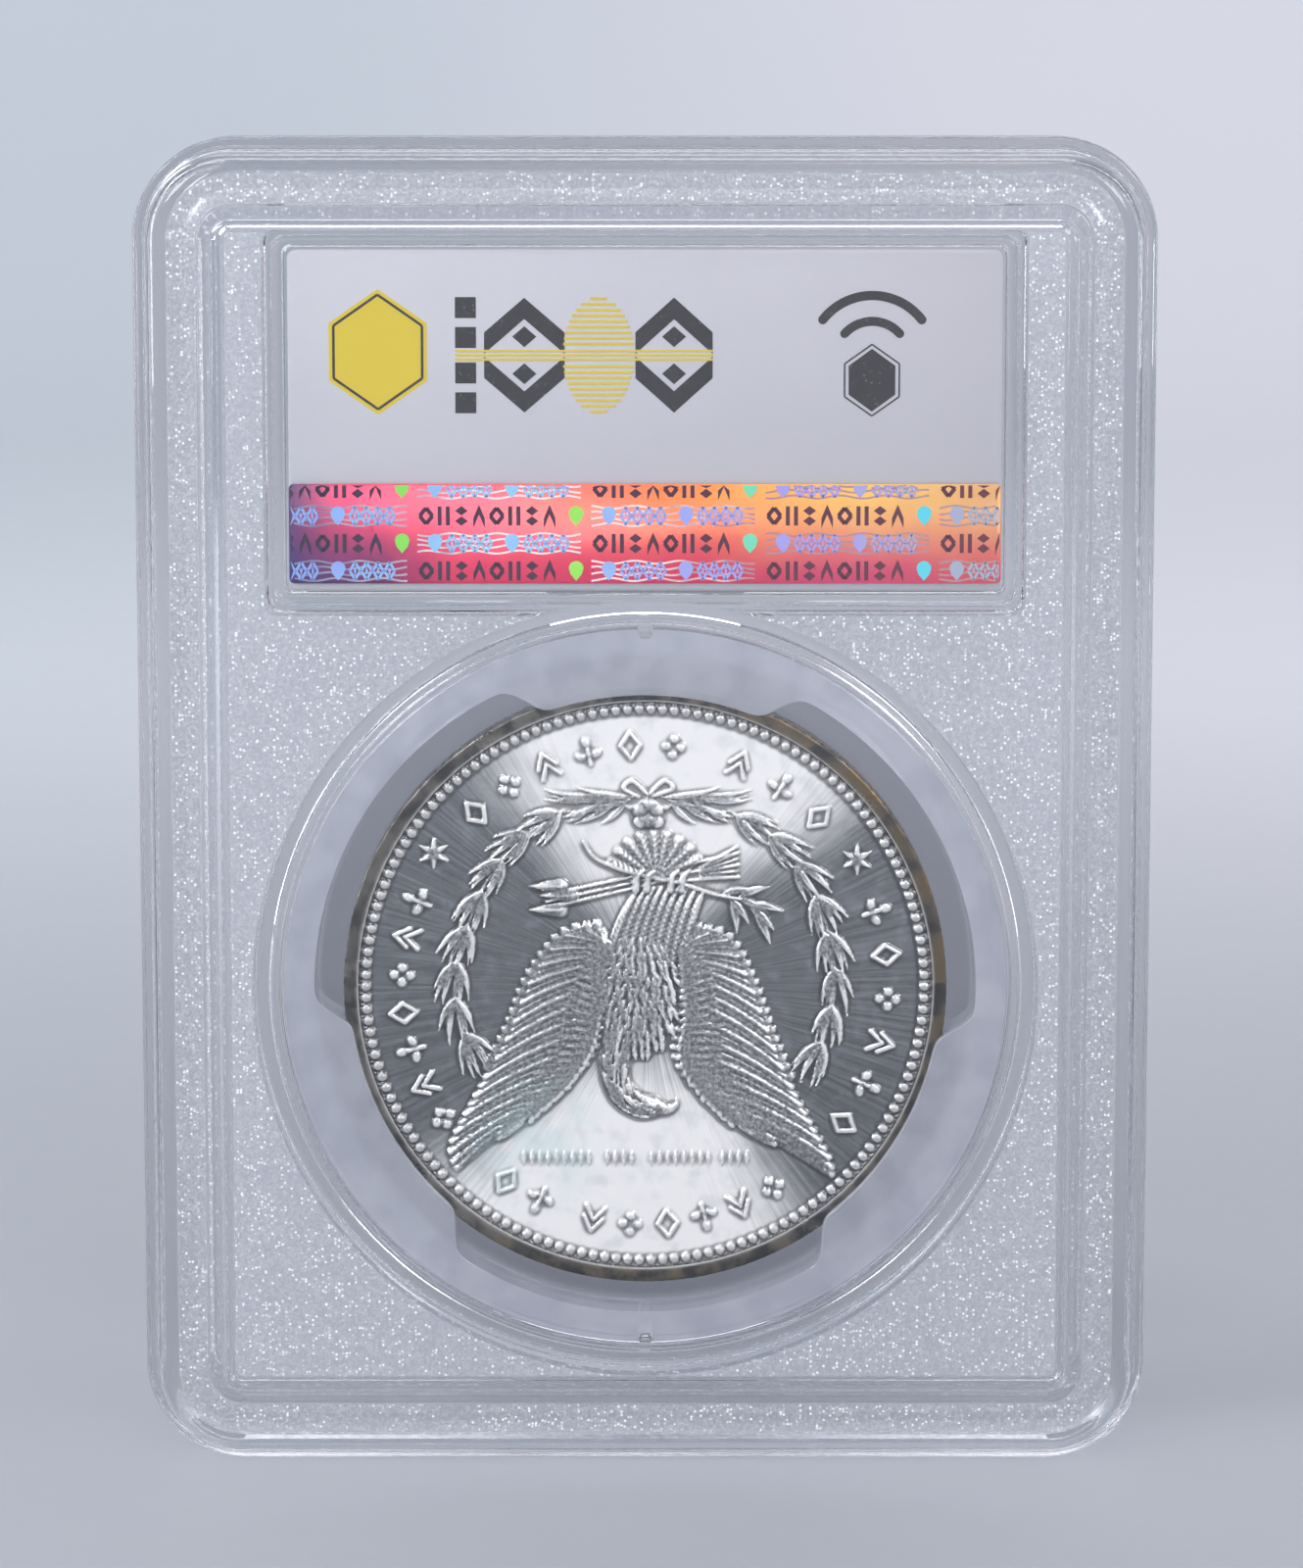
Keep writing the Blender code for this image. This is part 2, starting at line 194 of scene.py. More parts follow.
def swept(name, ring, profile, caps=True):
    """A solid from rings of equal point counts. The profile lists (offset, y) and closes on itself
    unless both its ends are capped."""
    rows = [[(x, y, z) for x, z in ring(offset)] for offset, y in profile]
    count = len(rows[0])
    vertices = [point for row in rows for point in row]
    faces = []
    for row in range(len(rows) if not caps else len(rows) - 1):
        following = (row + 1) % len(rows)
        for k in range(count):
            n = (k + 1) % count
            faces.append((row * count + k, row * count + n, following * count + n, following * count + k))
    if caps:
        faces.append(tuple(reversed(range(count))))
        faces.append(tuple(range((len(rows) - 1) * count, len(rows) * count)))
    made = new_object(name, vertices, faces)
    face_outwards(made)
    return made


def face_outwards(piece):
    shape = bmesh.new()
    shape.from_mesh(piece.data)
    bmesh.ops.recalc_face_normals(shape, faces=shape.faces)
    shape.to_mesh(piece.data)
    shape.free()


def fillet(corner, start, end, radius, steps=4):
    """Points round a corner between two directions, as (offset, depth)."""
    corner, start, end = (np.array(v, float) for v in (corner, start, end))
    a = corner + start / np.linalg.norm(start) * radius
    b = corner + end / np.linalg.norm(end) * radius
    points = []
    for step in range(steps + 1):
        t = step / steps
        points.append(tuple((1 - t) ** 2 * a + 2 * t * (1 - t) * corner + t * t * b))
    return points


def shoulder_arc(inset, depth, radius, steps=14):
    """The rounded edge, from the outer face down to the side wall."""
    points = []
    for step in range(steps + 1):
        angle = math.pi / 2 * (1 - step / steps)
        points.append((inset + radius * (1 - math.cos(angle)), depth - radius * (1 - math.sin(angle))))
    return points


def combine(piece, other, operation):
    modifier = piece.modifiers.new(other.name, "BOOLEAN")
    modifier.operation = operation
    modifier.solver = "EXACT"
    modifier.object = other


def apply_modifiers(piece):
    bpy.context.view_layer.update()
    depsgraph = bpy.context.evaluated_depsgraph_get()
    mesh = bpy.data.meshes.new_from_object(piece.evaluated_get(depsgraph))
    piece.modifiers.clear()
    piece.data = mesh


def joined(piece, others, operation="UNION"):
    for other in others:
        combine(piece, other, operation)
    apply_modifiers(piece)
    for other in others:
        bpy.data.objects.remove(other, do_unlink=True)
    return piece


def crisp(piece):
    """Smooth shading with sharp creases, and flat faces that stay flat."""
    piece.data.shade_smooth()
    piece.data.set_sharp_from_angle(angle=CREASE)
    weighted = piece.modifiers.new("flat_faces_stay_flat", "WEIGHTED_NORMAL")
    weighted.keep_sharp = True
    weighted.weight = FLAT_FACE_WEIGHT
    return piece


def furrow(place, level, depth):
    """A shallow V groove across a flat stretch of a profile, from its inner to its outer side."""
    return [(place - FURROW_HALF, level), (place, level + depth), (place + FURROW_HALF, level)]


def edge_profile(outer_face):
    """From the outer face's edge, over the shoulder and the flange, to the seam."""
    profile = shoulder_arc(FLANGE_WIDTH, outer_face, SHOULDER)
    profile += fillet((FLANGE_WIDTH, FLANGE_DEPTH), (0, 1), (-1, 0), FILLET)
    profile += fillet((0.0, FLANGE_DEPTH), (1, 0), (0, -1), BROAD, 6)
    return profile + fillet((0.0, SEAM), (0, 1), (1, 0), FINE)


def weld_profile(start, end, height):
    """The weld's tongue (height < 0) or its groove, with sides that lean inwards."""
    return [(start, SEAM), (start + WELD_LEAN, height), (end - WELD_LEAN, height), (end, SEAM)]


def cavity_profile():
    """From the seam up the inside of the wall to the panel."""
    corner = fillet((WALL_WIDTH, CAVITY), (0, -1), (1, 0), BROAD)
    return [(WALL_WIDTH - 0.05, SEAM), (WALL_WIDTH, SEAM + 0.05), *corner, (WALL_WIDTH + 0.4, CAVITY)]


def rear_profile():
    """From the rear panel over the nesting ridge, its inner ledge and the edge, to the cavity."""
    ledge = PANEL_FACE + LEDGE_RISE
    profile = [(RIDGE_INNER + 0.3, PANEL_FACE)]
    profile += fillet((RIDGE_INNER, PANEL_FACE), (1, 0), (RIDGE_TOP - RIDGE_INNER, RIDGE_LEAN), FINE)
    profile += [(RIDGE_LEDGE + 0.12, ledge), (RIDGE_LEDGE, ledge)]
    profile += fillet((RIDGE_TOP, SLAB_HALF), (RIDGE_INNER - RIDGE_TOP, -RIDGE_LEAN), (-1, 0), FILLET)
    profile += fillet((RIDGE_OUTER, SLAB_HALF), (1, 0), (0, -1), SOFT)
    profile += fillet((RIDGE_OUTER, PANEL_FACE), (0, 1), (-1, 0), FINE)
    profile += [(RIDGE_OUTER - 0.3, PANEL_FACE), (SHOULDER_END, PANEL_FACE)]
    profile += edge_profile(PANEL_FACE)
    profile += weld_profile(TONGUE_INSET, TONGUE_INSET + TONGUE_WIDTH, -TONGUE_HEIGHT)
    return profile + cavity_profile()


def front_profile():
    """From the front panel over the broad rim and the edge, to the cavity."""
    profile = [(RIM_WIDTH + 0.5, PANEL_FACE)]
    profile += fillet((RIM_WIDTH, PANEL_FACE), (1, 0), (0, 1), FILLET)
    profile += fillet((RIM_WIDTH, SLAB_HALF), (0, -1), (-1, 0), BROAD)
    profile += [(RIM_WIDTH - 0.4, SLAB_HALF), (SHOULDER_END, SLAB_HALF)]
    profile += edge_profile(SLAB_HALF)
    groove_end = TONGUE_INSET + TONGUE_WIDTH + WELD_GAP
    profile += weld_profile(TONGUE_INSET - WELD_GAP, groove_end, TONGUE_HEIGHT + WELD_GAP / 2)
    return profile + cavity_profile()


def on_side(side, profile):
    """A profile of (offset, depth) laid on the rear or the front side of the seam."""
    return [(offset, side * depth) for offset, depth in profile]


def well_wall(side):
    """The wall round the well, with a furrow along its lip."""
    root, lip = CAVITY + GAP, SEAM + LIP_LIFT
    outer = WELL_RADIUS + WELL_WALL
    profile = [(WELL_RADIUS, root)] + fillet((WELL_RADIUS, lip), (0, 1), (1, 0), SOFT)
    profile += furrow(WELL_RADIUS + 0.55, lip, 0.12)
    profile += fillet((outer, lip), (-1, 0), (0, 1), SOFT) + [(outer, root)]
    return swept("well_wall", circle_ring, on_side(side, profile), caps=False)


def label_tray(side):
    """The block that backs the window, with a pocket for the labels."""
    root, lip = CAVITY + GAP, SEAM + LIP_LIFT
    profile = [(0.0, WINDOW_DEPTH)] + fillet((GAP, WINDOW_DEPTH), (-1, 0), (0, -1), FINE)
    profile += fillet((GAP, lip), (0, 1), (1, 0), 0.15)
    profile += furrow(0.85, lip, 0.08)
    profile += fillet((FRAME_OUT, lip), (-1, 0), (0, 1), SOFT) + [(FRAME_OUT, root)]
    return swept("label_tray", label_ring, on_side(side, profile))


def well_key(side, above):
    tip = WELL_RADIUS - KEY_REACH
    middle = (0.0, COIN_MIDDLE[1] + above * (tip + WELL_RADIUS + GAP) / 2)
    height = WELL_RADIUS + GAP - tip
    rows = [(0.0, side * (CAVITY + GAP)), (0.0, side * 0.3)]
    return swept("well_key", lambda _: outline(KEY_WIDTH, height, 0.2, middle, 4), rows)


def make_shell(name, side, profile):
    shell = swept(name, slab_ring, on_side(side, profile))
    joined(shell, [well_wall(side), label_tray(side), well_key(side, 1), well_key(side, -1)])
    return crisp(shell)


def prong_radius(angle):
    """The ring's inner radius: the lip on a prong, the wider gap between two prongs."""
    pitch = 2 * math.pi / PRONG_COUNT
    off = abs((angle - PRONG_FIRST + pitch / 2) % pitch - pitch / 2)
    t = (off - PRONG_HALF) / PRONG_FLARE
    rounding = 0.16
    rise = rounding * (np.logaddexp(0, t / rounding) - np.logaddexp(0, (t - 1) / rounding))
    return LIP_RADIUS + PRONG_REACH * float(rise)


def ring_outline(outset):
    """The inner edge (outset > 0 cuts back into the ring) as points round the coin."""
    points = []
    for k in range(RING_STEPS):
        angle = 2 * math.pi * k / RING_STEPS
        radius = prong_radius(angle) + outset
        points.append((radius * math.cos(angle), COIN_MIDDLE[1] + radius * math.sin(angle)))
    return points


def make_ring():
    """The gasket: three prongs over the coin's rim, a groove for the coin and two notches for keys."""
    outlines = {
        "inner": ring_outline,
        "outer": lambda cut: circle_ring(RING_RADIUS - cut, RING_STEPS),
    }
    corner = ((RING_EDGE, 0.0), (RING_BEVEL, RING_BEVEL), (0.0, RING_EDGE))
    rounded = [(cut, drop - RING_HALF) for cut, drop in corner]
    rounded += [(cut, RING_HALF - drop) for cut, drop in reversed(corner)]
    profile = [(("inner", cut), y) for cut, y in rounded]
    profile += [(("outer", cut), y) for cut, y in reversed(rounded)]
    made = swept("clear_coin_ring", lambda spot: outlines[spot[0]](spot[1]), profile, caps=False)
    groove = [(COIN_RADIUS + COIN_PLAY / 2, side * (COIN_HALF + COIN_PLAY)) for side in (REAR, FRONT)]
    cutters = [swept("groove", lambda r: circle_ring(r, RING_STEPS), groove)]
    for above in (1, -1):
        reach = KEY_REACH + 0.1
        middle = (0.0, COIN_MIDDLE[1] + above * (RING_RADIUS + 0.5 - reach / 2))
        rows = [(0.0, side * (RING_HALF + 1)) for side in (REAR, FRONT)]
        notch = outline(KEY_WIDTH + 0.2, reach + 1.0, 0.2, middle, 4)
        cutters.append(swept("notch", lambda _, notch=notch: notch, rows))
    return crisp(joined(made, cutters, "DIFFERENCE"))


# The coin's relief


class Relief:
    """Heights above the field of one face of the coin, drawn in millimetres round its middle."""

    STEP = 0.04

    def __init__(self):
        half = int(COIN_RADIUS / self.STEP) + 2
        self.half = half
        self.axis = np.arange(-half, half + 1) * self.STEP
        self.heights = np.zeros((2 * half + 1, 2 * half + 1))

    def window(self, low, high):
        low = np.clip(np.floor(np.array(low) / self.STEP).astype(int) + self.half, 0, 2 * self.half)
        high = np.clip(np.ceil(np.array(high) / self.STEP).astype(int) + self.half + 1, 1, 2 * self.half + 1)
        rows, columns = slice(low[1], high[1]), slice(low[0], high[0])
        x, z = np.meshgrid(self.axis[columns], self.axis[rows])
        return (rows, columns), x, z

    def raise_to(self, area, heights):
        self.heights[area] = np.maximum(self.heights[area], heights)

    def blade(self, path, widths, height, base=0.0, vein=0.0, barbs=0.0, flat=False):
        """A tapered stroke along a path; widths are half widths at even stations along it."""
        path = np.array(path, float)
        wide = max(widths)
        area, x, z = self.window(path.min(0) - wide, path.max(0) + wide)
        nearest = np.full(x.shape, 1e9)
        along = np.zeros(x.shape)
        lengths = np.linalg.norm(np.diff(path, axis=0), axis=1)
        starts = np.concatenate(([0.0], np.cumsum(lengths)))
        for k, (start, end) in enumerate(zip(path, path[1:])):
            run = end - start
            t = np.clip(((x - start[0]) * run[0] + (z - start[1]) * run[1]) / (run @ run), 0, 1)
            away = np.hypot(x - start[0] - t * run[0], z - start[1] - t * run[1])
            closer = away < nearest
            nearest = np.where(closer, away, nearest)
            along = np.where(closer, starts[k] + t * lengths[k], along)
        stations = np.linspace(0, starts[-1], len(widths))
        across = nearest / np.maximum(np.interp(along, stations, widths), 1e-4)
        inside = across < 1
        shape = np.clip(2.2 * (1 - across), 0, 1) if flat else np.sqrt(np.clip(1 - across**2, 0, 1))
        heights = base + height * shape + vein * np.exp(-((across / 0.22) ** 2))
        if barbs:
            heights += barbs * np.cos(2 * math.pi * (along - nearest) / BARB_PITCH) * (across < 0.85)
        self.raise_to(area, np.where(inside, heights, 0.0))

    def dome(self, middle, radii, height, turn=0.0, base=0.0):
        middle = np.array(middle, float)
        reach = max(radii)
        area, x, z = self.window(middle - reach, middle + reach)
        c, s = math.cos(turn), math.sin(turn)
        u = ((x - middle[0]) * c + (z - middle[1]) * s) / radii[0]
        v = (-(x - middle[0]) * s + (z - middle[1]) * c) / radii[1]
        out = u * u + v * v
        self.raise_to(area, np.where(out < 1, base + height * np.sqrt(np.clip(1 - out, 0, 1)), 0.0))

    def star(self, middle, radius, height, points=6, turn=math.pi / 2):
        """A star with a raised ridge along each point."""
        for k in range(points):
            angle = turn + 2 * math.pi * k / points
            tip = (middle[0] + radius * math.cos(angle), middle[1] + radius * math.sin(angle))
            self.blade([middle, tip], [radius * 0.34, 0.01], height)

    def grooves(self, reach=6):
        """How far each cell lies below its surroundings, as another height map."""
        soft = self.heights
        for axis in (0, 0, 1, 1):
            size = soft.shape[axis]
            first, last = (soft.take([end] * reach, axis) for end in (0, -1))
            total = np.cumsum(np.concatenate((first, soft, last), axis), axis)
            sums = total.take(range(2 * reach, size + 2 * reach), axis) - total.take(range(size), axis)
            soft = sums / (2 * reach)
        return soft - self.heights

    def at(self, x, z, values=None):
        """Heights at places given in millimetres, read between the drawn cells."""
        u = np.clip(x / self.STEP + self.half, 0, 2 * self.half - 1e-3)
        v = np.clip(z / self.STEP + self.half, 0, 2 * self.half - 1e-3)
        i, j = np.floor(u).astype(int), np.floor(v).astype(int)
        u, v = u - i, v - j
        h = self.heights if values is None else values
        low = h[j, i] * (1 - u) + h[j, i + 1] * u
        high = h[j + 1, i] * (1 - u) + h[j + 1, i + 1] * u
        return low * (1 - v) + high * v


BARB_PITCH = 0.34


def polar(radius, degrees):
    return radius * math.cos(math.radians(degrees)), radius * math.sin(math.radians(degrees))


def along_path(path, t):
    """The point a share t of the way along a path, and the path's direction there."""
    path = np.array(path, float)
    lengths = np.linalg.norm(np.diff(path, axis=0), axis=1)
    at = min(max(t, 0.0), 1.0) * lengths.sum()
    for start, end, length in zip(path, path[1:], lengths):
        if at <= length or end is path[-1]:
            break
        at -= length
    run = (end - start) / length
    return start + run * min(at, length), math.atan2(run[1], run[0])


def curved(start, end, bow, steps=6):
    """A path that bows sideways by a share of its length."""
    start, end = np.array(start, float), np.array(end, float)
    run = end - start
    side = np.array((-run[1], run[0])) * bow
    t = np.linspace(0, 1, steps + 1)[:, None]
    return start + run * t + side * 4 * t * (1 - t)


def smooth_path(points, steps=8):
    """A Catmull-Rom curve through the points."""
    points = np.array(points, float)
    points = np.vstack((2 * points[0] - points[1], points, 2 * points[-1] - points[-2]))
    made = []
    for a, b, c, d in zip(points, points[1:], points[2:], points[3:]):
        for t in np.linspace(0, 1, steps, endpoint=False):
            cubic = (3 * b - a - 3 * c + d) * t**3 + (2 * a - 5 * b + 4 * c - d) * t**2
            made.append(0.5 * (cubic + (c - a) * t + 2 * b))
    return np.array(made + [points[-2]])


LEAF = (0.06, 0.75, 1.0, 0.8, 0.4, 0.03)
FEATHER = (0.55, 0.85, 1.0, 1.0, 0.95, 0.62)


def scaled(shape, width):
    return [width * share for share in shape]


def add_leaf(relief, root, heading, length, width, bow=0.06, base=0.0):
    tip = (root[0] + length * math.cos(heading), root[1] + length * math.sin(heading))
    relief.blade(curved(root, tip, bow), scaled(LEAF, width), 0.13, base, vein=-0.05)


# Stems of the wreath from the bow outwards, in millimetres from the coin's middle
WREATH_LEFT = ((-5.2, 11.2), (-7.5, 9.6), (-9.6, 7.3), (-11.0, 4.4), (-11.9, 1.4), (-11.9, -1.6),
               (-10.9, -4.0))
WREATH_RIGHT = ((5.6, 11.0), (8.3, 9.2), (10.4, 6.6), (11.5, 3.6), (12.0, 0.6), (11.6, -2.4),
                (10.8, -4.6))
LEAVES_PER_STEM = 8
BOW_X = 0.2
LEAF_SPREAD = (0.44, -0.44, 0.27, -0.27, 0.11, -0.11)
# Leaves beside the bow: distance out, lift as an angle, and length
BOW_LEAVES = ((0.8, 0.16, 3.8), (2.4, 0.10, 4.2), (1.2, 0.02, 5.2), (3.2, -0.03, 3.4), (1.0, -0.20, 4.4),
              (2.0, -0.48, 3.0), (2.8, -0.34, 3.0), (1.4, -0.72, 2.2), (3.6, -0.55, 2.0))


def add_wreath(relief, rng):
    for side, path in ((1, WREATH_LEFT), (-1, WREATH_RIGHT)):
        path = smooth_path(path)
        relief.blade(path, [0.12, 0.12], 0.1)
        for station in np.linspace(0.0, 0.93, LEAVES_PER_STEM):
            root, heading = along_path(path, station)
            for spread in LEAF_SPREAD:
                length = 2.7 + 0.5 * rng.random() - 0.8 * abs(spread)
                turn = heading + spread + 0.06 * rng.normal()
                step = 0.9 * (0.55 - abs(spread)) * np.array((math.cos(heading), math.sin(heading)))
                bow = 0.06 * math.copysign(1, spread)
                add_leaf(relief, root + step, turn, length, 0.23, bow, 0.06 * rng.random())
    for side in (1, -1):
        for start, lift, length in BOW_LEAVES:
            heading = lift if side > 0 else math.pi - lift
            root = (BOW_X + side * start, 12.05 + 0.3 * start * lift)
            add_leaf(relief, root, heading, length, 0.24, -0.05 * side, 0.03 * rng.random())


def add_bow(relief):
    """The ribbon's loops and tails, with a round cluster of berries above them."""
    for side in (1, -1):
        loop = [(BOW_X, 12.2), (BOW_X + side, 13.1), (BOW_X + 1.5 * side, 12.6), (0.4 * side, 12.1)]
        relief.blade(smooth_path(loop), [0.16, 0.2, 0.16], 0.14)
        tail = [(BOW_X, 12.0), (BOW_X + 0.9 * side, 11.4), (BOW_X + 1.6 * side, 11.6)]
        relief.blade(smooth_path(tail), [0.2, 0.24, 0.12], 0.12)
    relief.dome((BOW_X, 10.95), (1.15, 1.0), 0.12)
    for middle in ((-0.35, 11.2), (0.75, 11.2), (0.2, 10.6), (0.2, 11.6), (-0.3, 10.5), (0.75, 10.5)):
        relief.dome(middle, (0.42, 0.42), 0.12, base=0.08)


# Each wing's line of feather roots and its line of feather tips, from the body outwards
WINGS = (
    (
        ((-2.5, 2.7), (-2.9, 0.5), (-3.2, -2.0), (-3.8, -4.2), (-5.3, -6.4), (-7.6, -8.5)),
        ((-3.0, 3.7), (-5.2, 3.1), (-7.2, 0.4), (-8.4, -2.6), (-9.6, -5.0), (-11.1, -7.8),
         (-12.3, -10.3), (-11.9, -11.9)),
    ),
    (
        ((2.5, 2.5), (2.7, 0.5), (2.9, -2.0), (2.5, -4.4), (3.6, -6.6), (5.8, -8.8)),
        ((3.3, 3.5), (5.2, 2.9), (6.7, 0.0), (7.6, -2.6), (8.8, -5.6), (10.2, -8.4),
         (11.6, -11.0), (11.9, -12.3)),
    ),
)
WING_FEATHERS = 30


def add_wing(relief, roots, tips, rng):
    """Long feathers, two rows of shorter ones over their roots, and a scaled leading edge."""
    roots, tips = smooth_path(roots), smooth_path(tips)

    def feather_line(share, root_share):
        return along_path(roots, root_share)[0], along_path(tips, share)[0]

    pitch = np.linalg.norm(np.diff(tips, axis=0), axis=1).sum() / WING_FEATHERS
    bow = 0.05 * math.copysign(1, roots[0][0])
    for share in np.linspace(0.0, 1.0, WING_FEATHERS):
        root, tip = feather_line(share, share**1.9)
        path = curved(root - 0.1 * (tip - root), tip, bow)
        lift = 0.03 + 0.03 * (share * WING_FEATHERS % 2)
        relief.blade(path, scaled(FEATHER, 0.60 * pitch), 0.07, lift, vein=0.05, barbs=0.004)
    for row, (reach, width) in enumerate(((0.42, 0.5), (0.24, 0.42))):
        for share in np.linspace(0.0, 1.0, WING_FEATHERS - 4 * row):
            root, tip = feather_line(share, share)
            end = root + (tip - root) * (reach + 0.03 * rng.normal())
            relief.blade([root, end], scaled(FEATHER, width * 0.62), 0.07, 0.10 + 0.035 * row, vein=0.03)
    for share in np.linspace(0.0, 0.62, 19):
        tip, heading = along_path(tips, share)
        relief.dome(tip, (0.36, 0.60), 0.08, heading, 0.04)
    relief.blade(roots, [0.45, 0.5, 0.34, 0.14], 0.10, 0.1)
    for share in np.linspace(0.02, 0.98, 26):
        root, heading = along_path(roots, share)
        for side in (-0.28, 0.28):
            place = root + side * np.array((-math.sin(heading), math.cos(heading)))
            relief.dome(place, (0.36, 0.2), 0.09, heading + 0.4 * rng.normal(), 0.13)


def add_scales(relief, rng, middle, radii, heading, pitch, base):
    """Overlapping small feathers over a domed body, laid row by row."""
    rows = int(2 * radii[1] / pitch)
    for row in range(rows):
        v = -radii[1] + (row + 0.5) * pitch
        half = radii[0] * math.sqrt(max(0.0, 1 - (v / radii[1]) ** 2))
        for u in np.arange(-half, half + pitch * 0.3, pitch * 0.8):
            x = middle[0] + u + (row % 2) * pitch * 0.4 + 0.05 * rng.normal()
            z = middle[1] + v
            swell = math.sqrt(max(0.0, 1 - (u / radii[0]) ** 2 - (v / radii[1]) ** 2))
            turn = heading + 0.35 * u / radii[0] + 0.2 * rng.normal()
            tip = (x + pitch * 1.5 * math.cos(turn), z + pitch * 1.5 * math.sin(turn))
            relief.blade([(x, z), tip], [0.12, 0.2, 0.18, 0.05], 0.06, base + 0.10 * swell, vein=0.03)


def add_bird(relief, rng):
    """A bird with raised wings, its head to the foot of the slab."""
    for roots, tips in WINGS:
        add_wing(relief, roots, tips, rng)
    for share in np.linspace(0, 1, 9):
        root = (-2.1 + 4.4 * share, 2.2 - 0.5 * share)
        tip = (-0.5 + 4.2 * share, 6.1 + 0.3 * math.sin(math.pi * share))
        relief.blade(curved(root, tip, 0.04), [0.34, 0.36, 0.3, 0.14], 0.13, 0.03, vein=0.03, barbs=0.02)
    for share in np.linspace(0, 1, 9):
        tip = np.array((0.7, 6.8)) + np.array(polar(3.0, 158 - 130 * share)) * (1.0, 0.98)
        relief.blade([(0.7, 6.9), tip], [0.12, 0.3, 0.46, 0.5, 0.36], 0.10, 0.02, vein=0.05, barbs=0.02)
    relief.dome((-0.6, -0.5), (2.5, 4.0), 0.16, 0.12)
    add_scales(relief, rng, (-0.6, -0.4), (2.3, 3.8), -math.pi / 2, 0.5, 0.10)
    neck = smooth_path([(-1.5, -2.6), (-1.9, -4.6), (-1.7, -6.4), (-0.7, -7.5), (0.4, -7.7)])
    relief.blade(neck, [1.5, 1.15, 0.95, 0.9, 0.75], 0.13, 0.02)
    for _ in range(130):
        place, heading = along_path(neck, rng.random() * 0.9)
        off = rng.uniform(-0.75, 0.75)
        start = place + off * np.array((-math.sin(heading), math.cos(heading)))
        end = start + 0.95 * np.array((math.cos(heading - 0.25 * off), math.sin(heading - 0.25 * off)))
        relief.blade([start, end], [0.06, 0.12, 0.03], 0.08, 0.23 - 0.14 * abs(off))
    relief.dome((0.3, -7.75), (0.95, 0.72), 0.18, -0.1, 0.03)
    beak = smooth_path([(0.7, -7.7), (1.4, -7.9), (1.95, -7.6), (2.0, -7.2)])
    relief.blade(beak, [0.5, 0.4, 0.22, 0.03], 0.17, 0.02)
    relief.dome((0.55, -7.7), (0.16, 0.13), 0.06, base=0.19)


# Where the branch's leaves start, and their headings
BRANCH_LEAVES = (((4.8, 5.9), 0.1), ((5.2, 5.7), -0.9), ((5.8, 5.6), -0.45), ((5.8, 5.6), 0.35),
                 ((6.6, 5.0), -0.75), ((6.6, 5.2), -0.2), ((5.4, 5.5), -1.4), ((6.9, 4.6), -1.1))


def add_claws(relief):
    """Arrows with their heads to the left, a leafy branch and the talons that hold both."""
    lowest = 6.65
    for shaft in (7.35, 7.0, lowest):
        up = shaft - lowest
        path = [(5.9, 7.0 + 2.2 * up), (0.8, shaft), (-6.2, 5.0 + 1.2 * up)]
        relief.blade(path, [0.11, 0.11], 0.13, 0.03)
    for height, reach in ((6.5, -7.3), (5.9, -6.6), (5.0, -7.35)):
        head = [(reach + 2.0, height - 0.05 + 0.05 * reach / 7), (reach, height - 0.1)]
        relief.blade(head, [0.5, 0.32, 0.02], 0.14, 0.02, vein=0.04)
    for rise in np.linspace(0, 1, 6):
        fletching = [(3.4, 7.0 + 0.6 * rise), (5.8, 7.0 + 1.9 * rise)]
        relief.blade(fletching, [0.05, 0.13, 0.10], 0.12, 0.03, vein=0.03)
    branch = smooth_path([(-3.9, 9.2), (-3.0, 8.1), (-0.6, 7.2), (2.2, 6.6), (4.4, 5.9), (6.0, 5.6)])
    relief.blade(branch, [0.08, 0.15, 0.18, 0.16, 0.1], 0.15, 0.06)
    for root, heading in BRANCH_LEAVES:
        add_leaf(relief, root, heading, 2.2, 0.3, 0.06)
    for x in (-0.6, 0.1, 1.6, 2.3):
        talon = smooth_path([(x, 6.2), (x + 0.1, 7.0), (x + 0.5, 7.4)])
        relief.blade(talon, [0.3, 0.26, 0.1], 0.17, 0.06)


# Runs of ornaments: first and last angle in degrees, and how many
LEGEND = ((44.6, 67.2, 3), (83.3, 133.9, 6), (159.2, 213.6, 7), (234.9, 244.1, 2), (257.6, 302.0, 6),
          (325.0, 378.2, 6))
LEGEND_RADIUS = 15.35


def add_legend(relief):
    """Small ornaments in the band round the edge, where a coin has its lettering."""
    count = 0
    for first, last, number in LEGEND:
        for degrees in np.linspace(first, last, number):
            add_ornament(relief, count % 4, degrees)
            count += 1
    for x, z in ((-13.3, 8.5), (13.35, 8.1)):
        relief.star((x, z), 1.05, 0.13)


def add_ornament(relief, kind, degrees):
    turn = math.radians(degrees)
    out, side = np.array((math.cos(turn), math.sin(turn))), np.array((-math.sin(turn), math.cos(turn)))
    middle = LEGEND_RADIUS * out

    def place(across, up):
        return middle + across * side + up * out

    def stroke(*ends):
        relief.blade([place(*end) for end in ends], [0.17, 0.17], 0.12, flat=True)

    if kind == 0:
        stroke((0, -0.85), (0.62, 0), (0, 0.85), (-0.62, 0), (0, -0.85))
    elif kind == 1:
        for across, up in ((-0.5, -0.2), (0.5, -0.2), (0, 0.6)):
            relief.dome(place(across, up), (0.42, 0.3), 0.13, turn + 2.5 * across)
        stroke((0, 0.2), (0, -0.85))
    elif kind == 2:
        stroke((-0.6, -0.1), (0, 0.8), (0.6, -0.1))
        stroke((-0.6, -0.8), (0, 0.1), (0.6, -0.8))
    else:
        for across, up in ((0, 0.5), (0, -0.5), (-0.45, 0), (0.45, 0)):
            relief.dome(place(across, up), (0.34, 0.34), 0.13)


